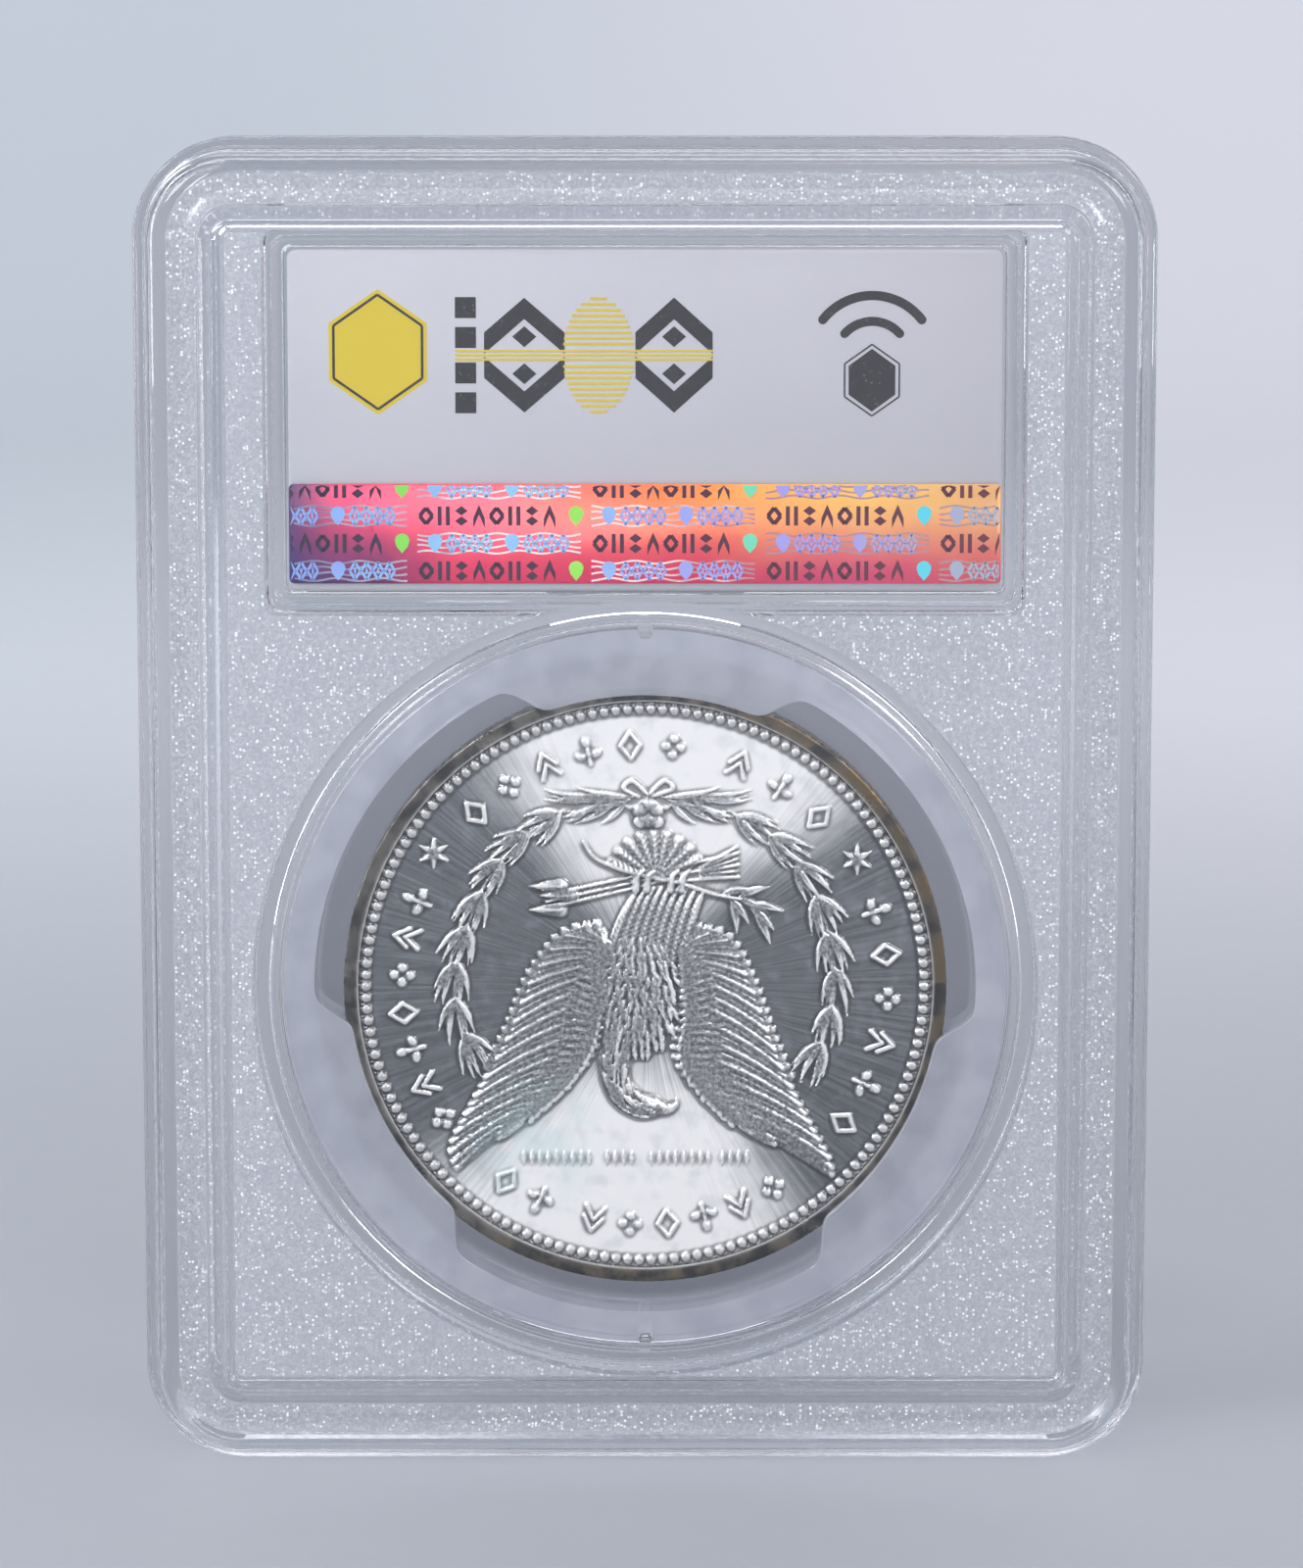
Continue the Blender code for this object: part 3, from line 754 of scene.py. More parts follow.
MOTTO_WORDS = ((-7.7, -3.4), (-2.4, -0.4), (0.4, 4.1), (4.9, 6.8))
MOTTO_HEIGHT = -11.05


def add_motto(relief):
    """A row of small lozenges between the wings."""
    for start, end in MOTTO_WORDS:
        for x in np.arange(start, end, 0.52):
            relief.blade([(x, MOTTO_HEIGHT - 0.5), (x, MOTTO_HEIGHT + 0.5)], [0.03, 0.17, 0.03], 0.09)


def add_border(relief):
    for k in range(BEAD_COUNT):
        degrees = 360 * k / BEAD_COUNT
        radii = (BEAD_RADIUS, BEAD_RADIUS * 0.9)
        relief.dome(polar(BEAD_RING, degrees), radii, 0.22, math.radians(degrees))
    radius = np.hypot(*np.meshgrid(relief.axis, relief.axis))
    slope = np.clip((radius - RIM_INNER + 0.12) / 0.12, 0, 1)
    relief.heights = np.maximum(relief.heights, FIELD_DROP * slope)


def roughen(relief, rng):
    """Fine tooling on all that stands above the field, coarser towards the foot of the wings."""
    grain = rng.normal(size=relief.heights.shape)
    soft = (grain + np.roll(grain, 1, 0) + np.roll(grain, 1, 1) + np.roll(grain, (1, 1), (0, 1))) / 4
    pits = np.kron(soft[::3, ::3], np.ones((3, 3)))[: soft.shape[0], : soft.shape[1]]
    x, z = np.meshgrid(relief.axis, relief.axis)
    struck = (relief.heights > 0.01) & (np.hypot(x, z) < BEAD_RING - BEAD_RADIUS)
    stipple = 0.016 * np.clip(-(z + 4.0) / 4.0, 0, 1)
    relief.heights = np.where(struck, relief.heights + 0.004 * soft + stipple * pits, relief.heights)


def draw_bird_face():
    rng = np.random.default_rng(7)
    relief = Relief()
    add_border(relief)
    add_wreath(relief, rng)
    add_bow(relief)
    add_bird(relief, rng)
    add_claws(relief)
    add_legend(relief)
    add_motto(relief)
    roughen(relief, rng)
    return relief


STAR_POINTS, STAR_LEAVES, SMALL_STARS = 12, 44, 26


def draw_star_face():
    """A plain star in a ring of leaves, with small stars round it."""
    rng = np.random.default_rng(11)
    relief = Relief()
    add_border(relief)
    relief.star((0, 0), 8.0, 0.26, STAR_POINTS)
    relief.star((0, 0), 5.2, 0.28, STAR_POINTS, math.pi / 2 + math.pi / STAR_POINTS)
    relief.dome((0, 0), (2.0, 2.0), 0.27)
    for k in range(STAR_LEAVES):
        root, heading = polar(10.4, 360 * k / STAR_LEAVES), 2 * math.pi * k / STAR_LEAVES
        add_leaf(relief, root, heading + math.pi / 2 + 0.5, 2.4, 0.32)
        add_leaf(relief, root, heading + math.pi / 2 - 0.5, 2.4, 0.32)
    for k in range(SMALL_STARS):
        relief.star(polar(14.6, 360 * k / SMALL_STARS), 0.95, 0.13)
    roughen(relief, rng)
    return relief


def disc_grid(count):
    """A square grid of points bent into a disc of radius 1, as x and z arrays."""
    line = np.linspace(-1, 1, count + 1)
    a, b = np.meshgrid(line, line)
    wide = np.abs(a) > np.abs(b)
    with np.errstate(divide="ignore", invalid="ignore"):
        radius = np.where(wide, a, b)
        angle = np.where(wide, math.pi / 4 * b / a, math.pi / 2 - math.pi / 4 * a / b)
    angle = np.where(radius == 0, 0.0, angle)
    return radius * np.cos(angle), radius * np.sin(angle)


def border_indices(count):
    """The grid's outermost points in order, anticlockwise from the lower left corner."""
    side = count + 1
    foot = [k for k in range(count)]
    right = [count + side * k for k in range(count)]
    top = [side * count + count - k for k in range(count)]
    left = [side * (count - k) for k in range(count)]
    return foot + right + top + left


def make_coin():
    flat = COIN_RADIUS - EDGE_CHAMFER
    x, z = disc_grid(COIN_GRID)
    x, z = x.ravel() * flat, z.ravel() * flat
    border = np.array(border_indices(COIN_GRID))
    angles = np.arctan2(z[border], x[border])
    field = COIN_HALF - FIELD_DROP
    rows, grooves = [], []
    for side, relief in ((REAR, draw_bird_face()), (FRONT, draw_star_face())):
        y = side * np.minimum(field + relief.at(x, z), COIN_HALF)
        y[border] = side * COIN_HALF
        rows.append(np.column_stack((x, y, z)))
        grooves.append(relief.at(x, z, relief.grooves()))
    reeds = COIN_RADIUS - REED_DEPTH * (0.5 + 0.5 * np.cos(REEDS * angles))
    for depth, radius in (
        (COIN_HALF - 0.04, COIN_RADIUS - 0.05 + 0 * reeds),
        (COIN_HALF - EDGE_CHAMFER, reeds),
    ):
        for side in (REAR, FRONT):
            ring = (radius * np.cos(angles), side * depth + 0 * angles, radius * np.sin(angles))
            rows.append(np.column_stack(ring))
    points = np.vstack(rows) + (0.0, 0.0, COIN_MIDDLE[1])
    coin = coin_mesh(points, border)
    depth = np.zeros(len(points))
    depth[: 2 * len(x)] = np.concatenate(grooves)
    coin.data.attributes.new("groove", "FLOAT", "POINT").data.foreach_set("value", depth)
    lay_out_coin(coin.data)
    return coin


def lay_out_coin(mesh):
    """Lays the two faces side by side for the baked texture, each seen square on."""
    loops = np.zeros(len(mesh.loops), int)
    mesh.loops.foreach_get("vertex_index", loops)
    points = np.zeros(3 * len(mesh.vertices))
    mesh.vertices.foreach_get("co", points)
    points = points.reshape(-1, 3)[loops] / MM
    share = 0.24 / COIN_RADIUS
    u = np.where(points[:, 1] < 0, 0.25, 0.75) + points[:, 0] * share
    v = 0.5 + (points[:, 2] - COIN_MIDDLE[1]) * share * 2
    mesh.uv_layers.new(name="OFBake").data.foreach_set("uv", np.column_stack((u, v)).ravel())


def coin_mesh(points, border):
    """Both faces' grids of squares, joined by strips over the chamfers and round the reeded edge."""
    side = COIN_GRID + 1
    face = side * side
    corner = (np.arange(COIN_GRID)[:, None] * side + np.arange(COIN_GRID)[None, :]).ravel()
    quads = np.column_stack((corner, corner + 1, corner + side + 1, corner + side))
    edge = [2 * face + row * len(border) + np.arange(len(border)) for row in range(4)]
    strips = [border, edge[0], edge[2], edge[3], edge[1], face + border]
    quads = [quads, quads[:, ::-1] + face]
    for first, second in zip(strips, strips[1:]):
        quads.append(np.column_stack((first, second, np.roll(second, -1), np.roll(first, -1))))
    quads = np.vstack(quads)
    mesh = bpy.data.meshes.new("struck_coin")
    mesh.vertices.add(len(points))
    mesh.vertices.foreach_set("co", (points * MM).ravel())
    mesh.loops.add(quads.size)
    mesh.loops.foreach_set("vertex_index", quads.ravel())
    mesh.polygons.add(len(quads))
    mesh.polygons.foreach_set("loop_start", np.arange(len(quads)) * 4)
    mesh.update(calc_edges=True)
    mesh.validate()
    mesh.shade_smooth()
    made = bpy.data.objects.new("struck_coin", mesh)
    bpy.context.scene.collection.objects.link(made)
    face_outwards(made)
    made.data.set_sharp_from_angle(angle=COIN_CREASE)
    return made


# Materials


def feed(tree, slot, value):
    """Gives an input a value of its own, or a link when the value is a socket."""
    value = getattr(value, "socket", value)
    if isinstance(value, bpy.types.NodeSocket):
        tree.links.new(value, slot)
    else:
        slot.default_value = (*value, 1.0) if slot.type == "RGBA" else value


def add_node(tree, kind, inputs=None, **settings):
    """A shader node with its settings made and its inputs fed."""
    node = tree.nodes.new("ShaderNode" + kind)
    for name, setting in settings.items():
        setattr(node, name, setting)
    for name, value in (inputs or {}).items():
        feed(tree, node.inputs[name], value)
    return node


class Value:
    """A number inside a material. Arithmetic on it adds Math nodes."""

    def __init__(self, tree, socket):
        self.tree, self.socket = tree, socket

    def math(self, operation, *others):
        node = add_node(self.tree, "Math", dict(enumerate((self, *others))), operation=operation)
        return Value(self.tree, node.outputs[0])

    def __add__(self, other):
        return self.math("ADD", other)

    def __sub__(self, other):
        return self.math("SUBTRACT", other)

    def __mul__(self, other):
        return self.math("MULTIPLY", other)

    def __truediv__(self, other):
        return self.math("DIVIDE", other)

    def inverse(self):
        return self * -1.0 + 1.0

    def size(self):
        return self.math("ABSOLUTE")

    def at_least(self, other):
        return self.math("MAXIMUM", other)

    def at_most(self, other):
        return self.math("MINIMUM", other)

    def length(self, other):
        return (self * self + other * other).math("SQRT")

    def rise(self, low, high):
        """0 below low, 1 above high and smooth between them."""
        inputs = {"Value": self, "From Min": low, "From Max": high}
        node = add_node(self.tree, "MapRange", inputs, interpolation_type="SMOOTHSTEP")
        return Value(self.tree, node.outputs["Result"])

    def fall(self, low, high):
        return self.rise(low, high).inverse()


EVEN = (1.0, 1.0, 1.0)


class Paint:
    """A material under construction, with places measured in millimetres."""

    def __init__(self, name, colour, roughness, metallic=0.0):
        self.material = bpy.data.materials.new(name)
        self.material.use_nodes = True
        self.tree = self.material.node_tree
        self.shader = self.tree.nodes["Principled BSDF"]
        self.put("Base Color", colour)
        self.put("Roughness", roughness)
        self.put("Metallic", metallic)
        self.place = self.node("TexCoord").outputs["Object"]
        split = self.node("SeparateXYZ", {0: self.place})
        self.x, self.y, self.z = (Value(self.tree, socket) * (1 / MM) for socket in split.outputs)

    def node(self, kind, inputs=None, **settings):
        return add_node(self.tree, kind, inputs, **settings)

    def put(self, socket, value):
        feed(self.tree, self.shader.inputs[socket], value)

    def attribute(self, name):
        return Value(self.tree, self.node("Attribute", attribute_name=name).outputs["Fac"])

    def grained(self, grain, stretch=EVEN, at=None):
        """Places scaled for a texture with grains of a size in millimetres."""
        scale = [share / (grain * MM) for share in stretch]
        return self.node("Mapping", {"Vector": at or self.place, "Scale": scale}).outputs[0]

    def noise(self, grain, detail=2.0, stretch=EVEN, at=None):
        """Noise, mostly between 0.3 and 0.7."""
        inputs = {"Vector": self.grained(grain, stretch, at), "Scale": 1.0, "Detail": detail}
        return Value(self.tree, self.node("TexNoise", inputs).outputs["Fac"])

    def cells(self, grain):
        """A random number for each cell, and the distance from the cell's middle."""
        cells = self.node("TexVoronoi", {"Vector": self.grained(grain), "Scale": 1.0})
        split = self.node("SeparateColor", {0: cells.outputs["Color"]})
        return Value(self.tree, split.outputs[0]), Value(self.tree, cells.outputs["Distance"])

    def mix(self, first, second, share):
        """A colour between two, as a socket."""
        node = self.node("Mix", {"Factor": share}, data_type="RGBA")
        for name, colour in (("A", first), ("B", second)):
            slot = next(s for s in node.inputs if s.name == name and s.type == "RGBA")
            feed(self.tree, slot, colour)
        return next(s for s in node.outputs if s.type == "RGBA")

    def ramp(self, share, *stops):
        """A colour read off a row of (position, colour) stops."""
        node = self.node("ValToRGB", {0: share})
        elements = node.color_ramp.elements
        while len(elements) < len(stops):
            elements.new(0.5)
        for element, (position, colour) in zip(elements, stops):
            element.position = position
            element.color = (*colour, 1.0)
        return node.outputs[0]

    def bump(self, height, strength, distance):
        inputs = {"Height": height, "Strength": strength, "Distance": distance * MM}
        self.put("Normal", self.node("Bump", inputs).outputs[0])

    def ray(self, kind):
        """1 for light paths of the kind, else 0."""
        return Value(self.tree, self.node("LightPath").outputs[kind])

    def light_passes(self, tint):
        """Lets lamps and bounced light through, as clear plastic does."""
        passing = self.ray("Is Shadow Ray").at_least(self.ray("Is Diffuse Ray"))
        clear = self.node("BsdfTransparent", {"Color": tint})
        mixed = self.node("MixShader", {0: passing, 1: self.shader.outputs[0], 2: clear.outputs[0]})
        feed(self.tree, self.tree.nodes["Material Output"].inputs["Surface"], mixed.outputs[0])


def from_rectangle(paint, width, height, radius, middle):
    """Distance outside a rounded rectangle (negative inside it), in millimetres."""
    across = (paint.x - middle[0]).size() - (width / 2 - radius)
    up = (paint.z - middle[1]).size() - (height / 2 - radius)
    outside = across.at_least(0.0).length(up.at_least(0.0))
    return outside + across.at_least(up).at_most(0.0) - radius


def from_coin(paint):
    return paint.x.length(paint.z - COIN_MIDDLE[1])


BAND_START = 2.15
FROST_BLUR, WALL_BLUR = 0.15, 0.12


def case_frost(paint, panel_inset):
    """1 on the etched outer panels, and 1 on the etched flat band round them."""
    inset = from_rectangle(paint, SLAB_WIDTH, SLAB_HEIGHT, CORNER_RADIUS, SLAB_MIDDLE) * -1.0
    window = LABEL_WIDTH + 2 * FRAME_OUT, LABEL_HEIGHT + 2 * FRAME_OUT, 0.5 + 0.25 * FRAME_OUT
    label = from_rectangle(paint, *window, LABEL_MIDDLE).rise(0.0, WALL_BLUR)
    wall = WELL_RADIUS + WELL_WALL
    well = from_coin(paint).rise(wall, wall + WALL_BLUR)
    panel = inset.rise(panel_inset, panel_inset + FROST_BLUR) * label * well
    band_end = RIM_WIDTH + 0.05
    band = inset.rise(BAND_START, BAND_START + FROST_BLUR) * inset.fall(band_end, band_end + FROST_BLUR)
    outer_face = paint.y.size().rise(PANEL_FACE - 0.1, PANEL_FACE - 0.05)
    return panel * outer_face, band * outer_face


PLASTIC_INDEX = 1.47
WHITE = EVEN
CLEAR_TINT, SHADED_TINT = (0.955, 0.957, 0.972), (0.34, 0.345, 0.385)
PANEL_DUST, BAND_DUST = (0.57, 0.585, 0.635), (0.50, 0.515, 0.56)
PASSING_TINT, RING_PASSING_TINT = (0.945, 0.945, 0.955), (0.86, 0.87, 0.89)
RING_PALE, RING_MILKY = (0.60, 0.615, 0.67), (0.70, 0.715, 0.76)
# How strongly the front shell's plastic round the well is tinted with painted shadow.
FRONT_WELL_SHADE = 0.75


def clear_plastic(name, panel_inset, well_shade):
    """Clear plastic, etched on its flat outer faces, with fine white specks painted on the etching as
    painted glints, and a painted shadow round the well where well_shade is above 0.
    """
    paint = Paint(name, (0.955, 0.965, 0.985), 0.0)
    panel, band = case_frost(paint, panel_inset)
    frost = panel.at_least(band)
    grain = paint.noise(0.17, 3.0)
    # Painted glints: white, less see-through specks on the etched faces, standing in for light that sparkles
    # off the etching.
    fleck, away = paint.cells(0.21)
    painted_sparkle = fleck.rise(0.66, 0.86) * away.fall(0.2, 0.55) * frost
    # Painted shadow: the plastic round the well is tinted dark, as shade from the coin behind it.
    shade = from_coin(paint).fall(COIN_RADIUS + 1.4, COIN_RADIUS + 2.4) * well_shade
    paint.put("IOR", PLASTIC_INDEX)
    paint.put("Roughness", frost * (grain * 0.2 + 0.22) + paint.noise(7.0) * 0.008)
    paint.put("Transmission Weight", (frost * 0.38 + painted_sparkle * 0.60).inverse())
    clear = paint.mix(CLEAR_TINT, SHADED_TINT, shade)
    dust = paint.mix(PANEL_DUST, BAND_DUST, band)
    dusty = paint.mix(clear, dust, frost * (grain.rise(0.32, 0.62) * 0.4 + 0.6))
    paint.put("Base Color", paint.mix(dusty, WHITE, painted_sparkle))
    paint.bump(grain, frost * 0.9, 0.05)
    paint.light_passes(PASSING_TINT)
    return paint.material


def ring_plastic():
    """Slightly milky plastic, less clear than the case."""
    paint = Paint("milky_clear_ring", (0.62, 0.635, 0.68), 0.0)
    haze = paint.noise(2.5)
    paint.put("IOR", PLASTIC_INDEX)
    paint.put("Roughness", haze * 0.10 + 0.02)
    paint.put("Transmission Weight", 0.66)
    paint.put("Base Color", paint.mix(RING_PALE, RING_MILKY, haze.rise(0.35, 0.65)))
    paint.light_passes(RING_PASSING_TINT)
    return paint.material


# Painted reflections and highlights: the field's dark flanks, paler streaks and bright lustre, the devices'
# bright crests, and painted shade in the grooves.
PAINTED_DARK_REFLECTION, PAINTED_PALE_REFLECTION, PAINTED_LUSTRE_HIGHLIGHT = (0.22, 0.226, 0.232), (0.40, 0.405, 0.405), (1.0, 0.985, 0.94)
HAZE_GREY, BEAD_GREY = (0.55, 0.56, 0.58), (0.32, 0.32, 0.315)
STRUCK_DARK, PAINTED_HIGHLIGHT_SILVER = (0.30, 0.302, 0.30), (1.0, 0.99, 0.955)
PAINTED_GROOVE_SHADE = (0.07, 0.07, 0.075)
RIM_DARK, RIM_WORN = (0.06, 0.06, 0.058), (0.24, 0.23, 0.21)
TONE_BROWN, TONE_BLUE = (0.20, 0.13, 0.05), (0.50, 0.74, 0.74)


def coin_silver():
    """Mirror fields painted with dark reflections, paler streaks and bright wedges of painted lustre;
    frosted devices with painted highlights on their crests and painted glints; painted shade in the grooves;
    and a toned rim.
    """
    paint = Paint("struck_silver", (0.9, 0.9, 0.89), 0.2)
    x, z = paint.x, paint.z - COIN_MIDDLE[1]
    radius = x.length(z)
    device = (paint.y.size() - (COIN_HALF - FIELD_DROP)).rise(0.008, 0.05)
    groove = paint.attribute("groove")
    crest = groove.fall(-0.045, -0.012)
    flow = flow_lines(paint, z.math("ARCTAN2", x), radius)
    painted_glow = painted_lustre_wedges(paint, x, z, radius, flow)
    # Painted reflection: dark flanks, paler along the flow lines, and bright painted lustre in the wedges.
    painted_flank_reflection = paint.mix(PAINTED_DARK_REFLECTION, PAINTED_PALE_REFLECTION, flow.rise(0.30, 0.80))
    field = paint.mix(painted_flank_reflection, PAINTED_LUSTRE_HIGHLIGHT, painted_glow)
    haze = paint.noise(1.2, 4.0).rise(0.48, 0.75)
    worn = (paint.y * 10.0).rise(0.0, 1.0)  # the front face is duller
    field = paint.mix(field, HAZE_GREY, (haze * 0.35).at_least(worn * 0.6))
    # Painted highlights: bright crests and random glints on the devices.
    glint = paint.noise(0.22, 2.0).rise(0.36, 0.62)
    raised = paint.mix(STRUCK_DARK, PAINTED_HIGHLIGHT_SILVER, crest * 0.8 + glint * 0.35)
    metal = paint.mix(field, raised, device)
    # Painted shade: dark in the grooves, where the relief lies below its surroundings.
    metal = paint.mix(metal, PAINTED_GROOVE_SHADE, groove.rise(0.004, 0.04) * 0.75)
    paint.put("Base Color", toned(paint, metal, radius, x, z))
    # Metallic is lowered on the crests and in the painted lustre, so that the painted highlight colour shows
    # lamp light as a diffuse sheen.
    soft = (crest * device * 0.45).at_least(painted_glow * device.inverse() * 0.8)
    paint.put("Metallic", soft.at_least(worn * 0.65).inverse())
    paint.put("Roughness", device * 0.10 + painted_glow * 0.10 + paint.noise(0.3) * 0.10 + 0.08)
    paint.bump(flow * 0.6 + paint.noise(0.12, 2.0) * 0.5, 0.4, 0.03)
    return paint.material


def painted_lustre_wedges(paint, x, z, radius, flow):
    """Painted highlight: the bright wedges of lustre in the mirror field, one above the middle and one
    below.
    """
    steep = (z.size() / radius.at_least(0.5)) + (x * z.math("SIGN")) * 0.008
    wedge = steep.rise(0.52, 1.04)
    reach = radius.rise(3.0, 12.0) * 0.45 + 0.55
    return (wedge * reach + (flow - 0.5) * 0.5 * wedge + (paint.noise(4.0) - 0.5) * 0.4).rise(0.08, 0.85)


def flow_lines(paint, angle, radius):
    """Fine streaks that fan out from the middle, left by the metal as it was struck."""
    join = paint.node("CombineXYZ", {0: angle * (60 * MM), 1: radius * (0.10 * MM)})
    return paint.noise(0.9, 3.0, at=join.outputs[0])


def toned(paint, metal, radius, x, z):
    """Dark brown and gold toning on the rim, strongest up to the right and at the foot."""
    patches = paint.noise(1.6, 4.0).rise(0.36, 0.62)
    side = (x * 0.6 + z * 0.35).rise(2.0, 12.0).at_least((z * -1.0).rise(15.0, 18.0) * 0.8)
    beads = radius.rise(17.2, 17.35) * radius.fall(18.0, 18.1)
    metal = paint.mix(metal, BEAD_GREY, beads * 0.5)
    rim = radius.rise(18.05, 18.3)
    metal = paint.mix(metal, paint.mix(RIM_DARK, RIM_WORN, patches), rim)
    brown = radius.rise(17.9, 18.6) * (side * 0.7 + 0.15) * patches
    metal = paint.mix(metal, TONE_BROWN, brown)
    cool = (x + 7.0).length(z + 10.0).fall(1.5, 5.5) * paint.noise(3.0).rise(0.40, 0.60) * 0.35
    return paint.mix(metal, TONE_BLUE, cool)


CARD_DARK, CARD_PALE = (0.54, 0.53, 0.555), (0.61, 0.60, 0.625)


def label_card(name):
    """Pale grey card with faint fibres and blotches."""
    paint = Paint(name, CARD_PALE, 0.5)
    fibre = paint.noise(0.25, 3.0, (1.0, 1.0, 3.0))
    blotch = paint.noise(6.0)
    paint.put("Base Color", paint.mix(CARD_DARK, CARD_PALE, (fibre + blotch) * 0.5))
    paint.put("Roughness", fibre * 0.2 + 0.4)
    paint.bump(fibre, 0.15, 0.02)
    return paint.material


def print_ink(name, dark, light, grain=0.12):
    """Printed ink, worn by pinholes where the card shows through."""
    paint = Paint(name, dark, 0.5)
    worn = paint.noise(grain, 3.0).rise(0.66, 0.70)
    paint.put("Base Color", paint.mix(dark, light, worn * 0.8))
    paint.put("Roughness", paint.noise(0.6) * 0.2 + 0.4)
    return paint.material


FOIL_LEFT, FOIL_PLUM, FOIL_CRIMSON = (0.035, 0.02, 0.16), (0.16, 0.015, 0.12), (0.80, 0.03, 0.11)
FOIL_PINK, FOIL_ORANGE, FOIL_YELLOW = (0.95, 0.11, 0.14), (1.0, 0.24, 0.05), (1.0, 0.56, 0.12)


def foil_share(paint):
    """Runs from 0 at the strip's left end to 1 at its right end, with slight ripples."""
    return paint.x / LABEL_WIDTH + 0.5 + (paint.noise(5.0) - 0.5) * 0.10


def holographic_foil():
    paint = Paint("holographic_foil", FOIL_CRIMSON, 0.35, metallic=0.25)
    share = foil_share(paint)
    height = (paint.z - STRIP_LOW) / (STRIP_TOP - STRIP_LOW)
    foot = paint.ramp(share, (0.0, FOIL_LEFT), (0.12, FOIL_PLUM), (0.24, FOIL_CRIMSON), (0.6, FOIL_CRIMSON),
                      (0.8, (0.85, 0.07, 0.20)), (1.0, FOIL_PINK))
    top = paint.ramp(share, (0.0, (0.10, 0.02, 0.10)), (0.10, FOIL_CRIMSON), (0.3, FOIL_PINK),
                     (0.55, FOIL_ORANGE), (0.78, FOIL_YELLOW), (1.0, (0.80, 0.42, 0.16)))
    paint.put("Base Color", paint.mix(foot, top, (height + (paint.noise(4.0) - 0.5) * 0.3).rise(0.05, 0.95)))
    paint.put("Roughness", paint.noise(1.2) * 0.2 + 0.22)
    paint.bump(paint.noise(0.05, 1.0, (1.0, 1.0, 8.0)), 0.12, 0.01)
    return paint.material


def shifting_ink(name, *stops):
    """A foil print whose colour drifts along the strip."""
    paint = Paint(name, stops[0][1], 0.35)
    paint.put("Base Color", paint.ramp(foil_share(paint) + (paint.noise(1.5) - 0.5) * 0.3, *stops))
    paint.put("Roughness", paint.noise(0.8) * 0.2 + 0.25)
    return paint.material


def bare_metal(name, colour, roughness):
    paint = Paint(name, colour, roughness, metallic=1.0)
    brushed = paint.noise(0.4, 3.0, (0.2, 1.0, 1.0))
    paint.put("Base Color", paint.mix(tuple(0.8 * c for c in colour), colour, brushed.rise(0.3, 0.7)))
    paint.put("Roughness", brushed * 0.2 + roughness - 0.1)
    return paint.material


def dull_plastic(name, colour, roughness):
    paint = Paint(name, colour, roughness)
    mottle = paint.noise(0.8, 3.0)
    paint.put("Base Color", paint.mix(tuple(0.85 * c for c in colour), colour, mottle.rise(0.35, 0.65)))
    paint.put("Roughness", mottle * 0.2 + roughness - 0.1)
    return paint.material


# The sheet's colours carry painted light: darker to the left, paler to the right, with a painted shadow near
# the slab.
SHEET_LEFT, SHEET_RIGHT = (0.475, 0.515, 0.565), (0.590, 0.588, 0.635)
SHEET_CLOUD, SHEET_NEAR_SHADOW, SHEET_MIRRORED = (0.54, 0.56, 0.60), (0.30, 0.32, 0.36), (0.22, 0.23, 0.25)


def stage_surface():
    """Pale paper, darker in reflections so that they don't veil what lies behind the plastic. It glows as
    painted light, fainter near the slab, and carries painted light that is paler to the right and a painted
    shadow round the slab.
    """
    paint = Paint("pale_studio_sheet", (0.70, 0.73, 0.77), 0.6)
    mirrored = paint.ray("Is Glossy Ray")
    # Painted light: the sheet is darker to the left and paler to the right.
    painted_side_light = (paint.x / 260.0 + 0.5).rise(0.0, 1.0)
    tone = paint.mix(SHEET_LEFT, SHEET_RIGHT, painted_side_light)
    away = paint.x.length(paint.y)
    paper = paint.mix(tone, SHEET_CLOUD, paint.noise(40.0) * 0.3)
    # Painted shadow: the paper darkens near the slab.
    paper = paint.mix(paper, SHEET_NEAR_SHADOW, away.fall(80.0, 500.0) * 0.6)
    paint.put("Base Color", paint.mix(paper, SHEET_MIRRORED, mirrored * 0.45))
    paint.put("Roughness", paint.noise(4.0) * 0.1 + 0.55)
    # Painted light: the sheet glows in its own colour, faintly near the slab and more strongly far away.
    paint.put("Emission Color", tone)
    painted_glow = away.rise(0.0, 450.0) * 0.30 + away.rise(500.0, 1400.0) * 0.24 + 0.04
    paint.put("Emission Strength", painted_glow * (mirrored * -0.35 + 1.0))
    return paint.material


# Printed shapes

GEM_SHOULDER = 0.46


def shapes(name, outlines, y, thickness, side=REAR):
    """Flat printed or cut shapes from (x, z) outlines, as one thin solid."""
    vertices, faces = [], []
    for points in outlines:
        start, count = len(vertices), len(points)
        vertices += [(x, y, z) for x, z in points] + [(x, y + side * thickness, z) for x, z in points]
        faces.append(tuple(range(start, start + count)))
        faces.append(tuple(reversed(range(start + count, start + 2 * count))))
        for k in range(count):
            n = (k + 1) % count
            faces.append((start + k, start + n, start + count + n, start + count + k))
    made = new_object(name, vertices, faces, smooth=False)
    face_outwards(made)
    return made


def band(path, half_width):
    """The outline of a line of even width along a path of points."""
    path = np.array(path, float)
    run = np.gradient(path, axis=0)
    run /= np.linalg.norm(run, axis=1)[:, None]
    side = np.column_stack((-run[:, 1], run[:, 0])) * half_width
    return [tuple(p) for p in np.vstack((path + side, (path - side)[::-1]))]


def bands(path, half_width):
    """The same line cut into short convex pieces, for tight curves."""
    return [band(path[k : k + 2], half_width) for k in range(len(path) - 1)]


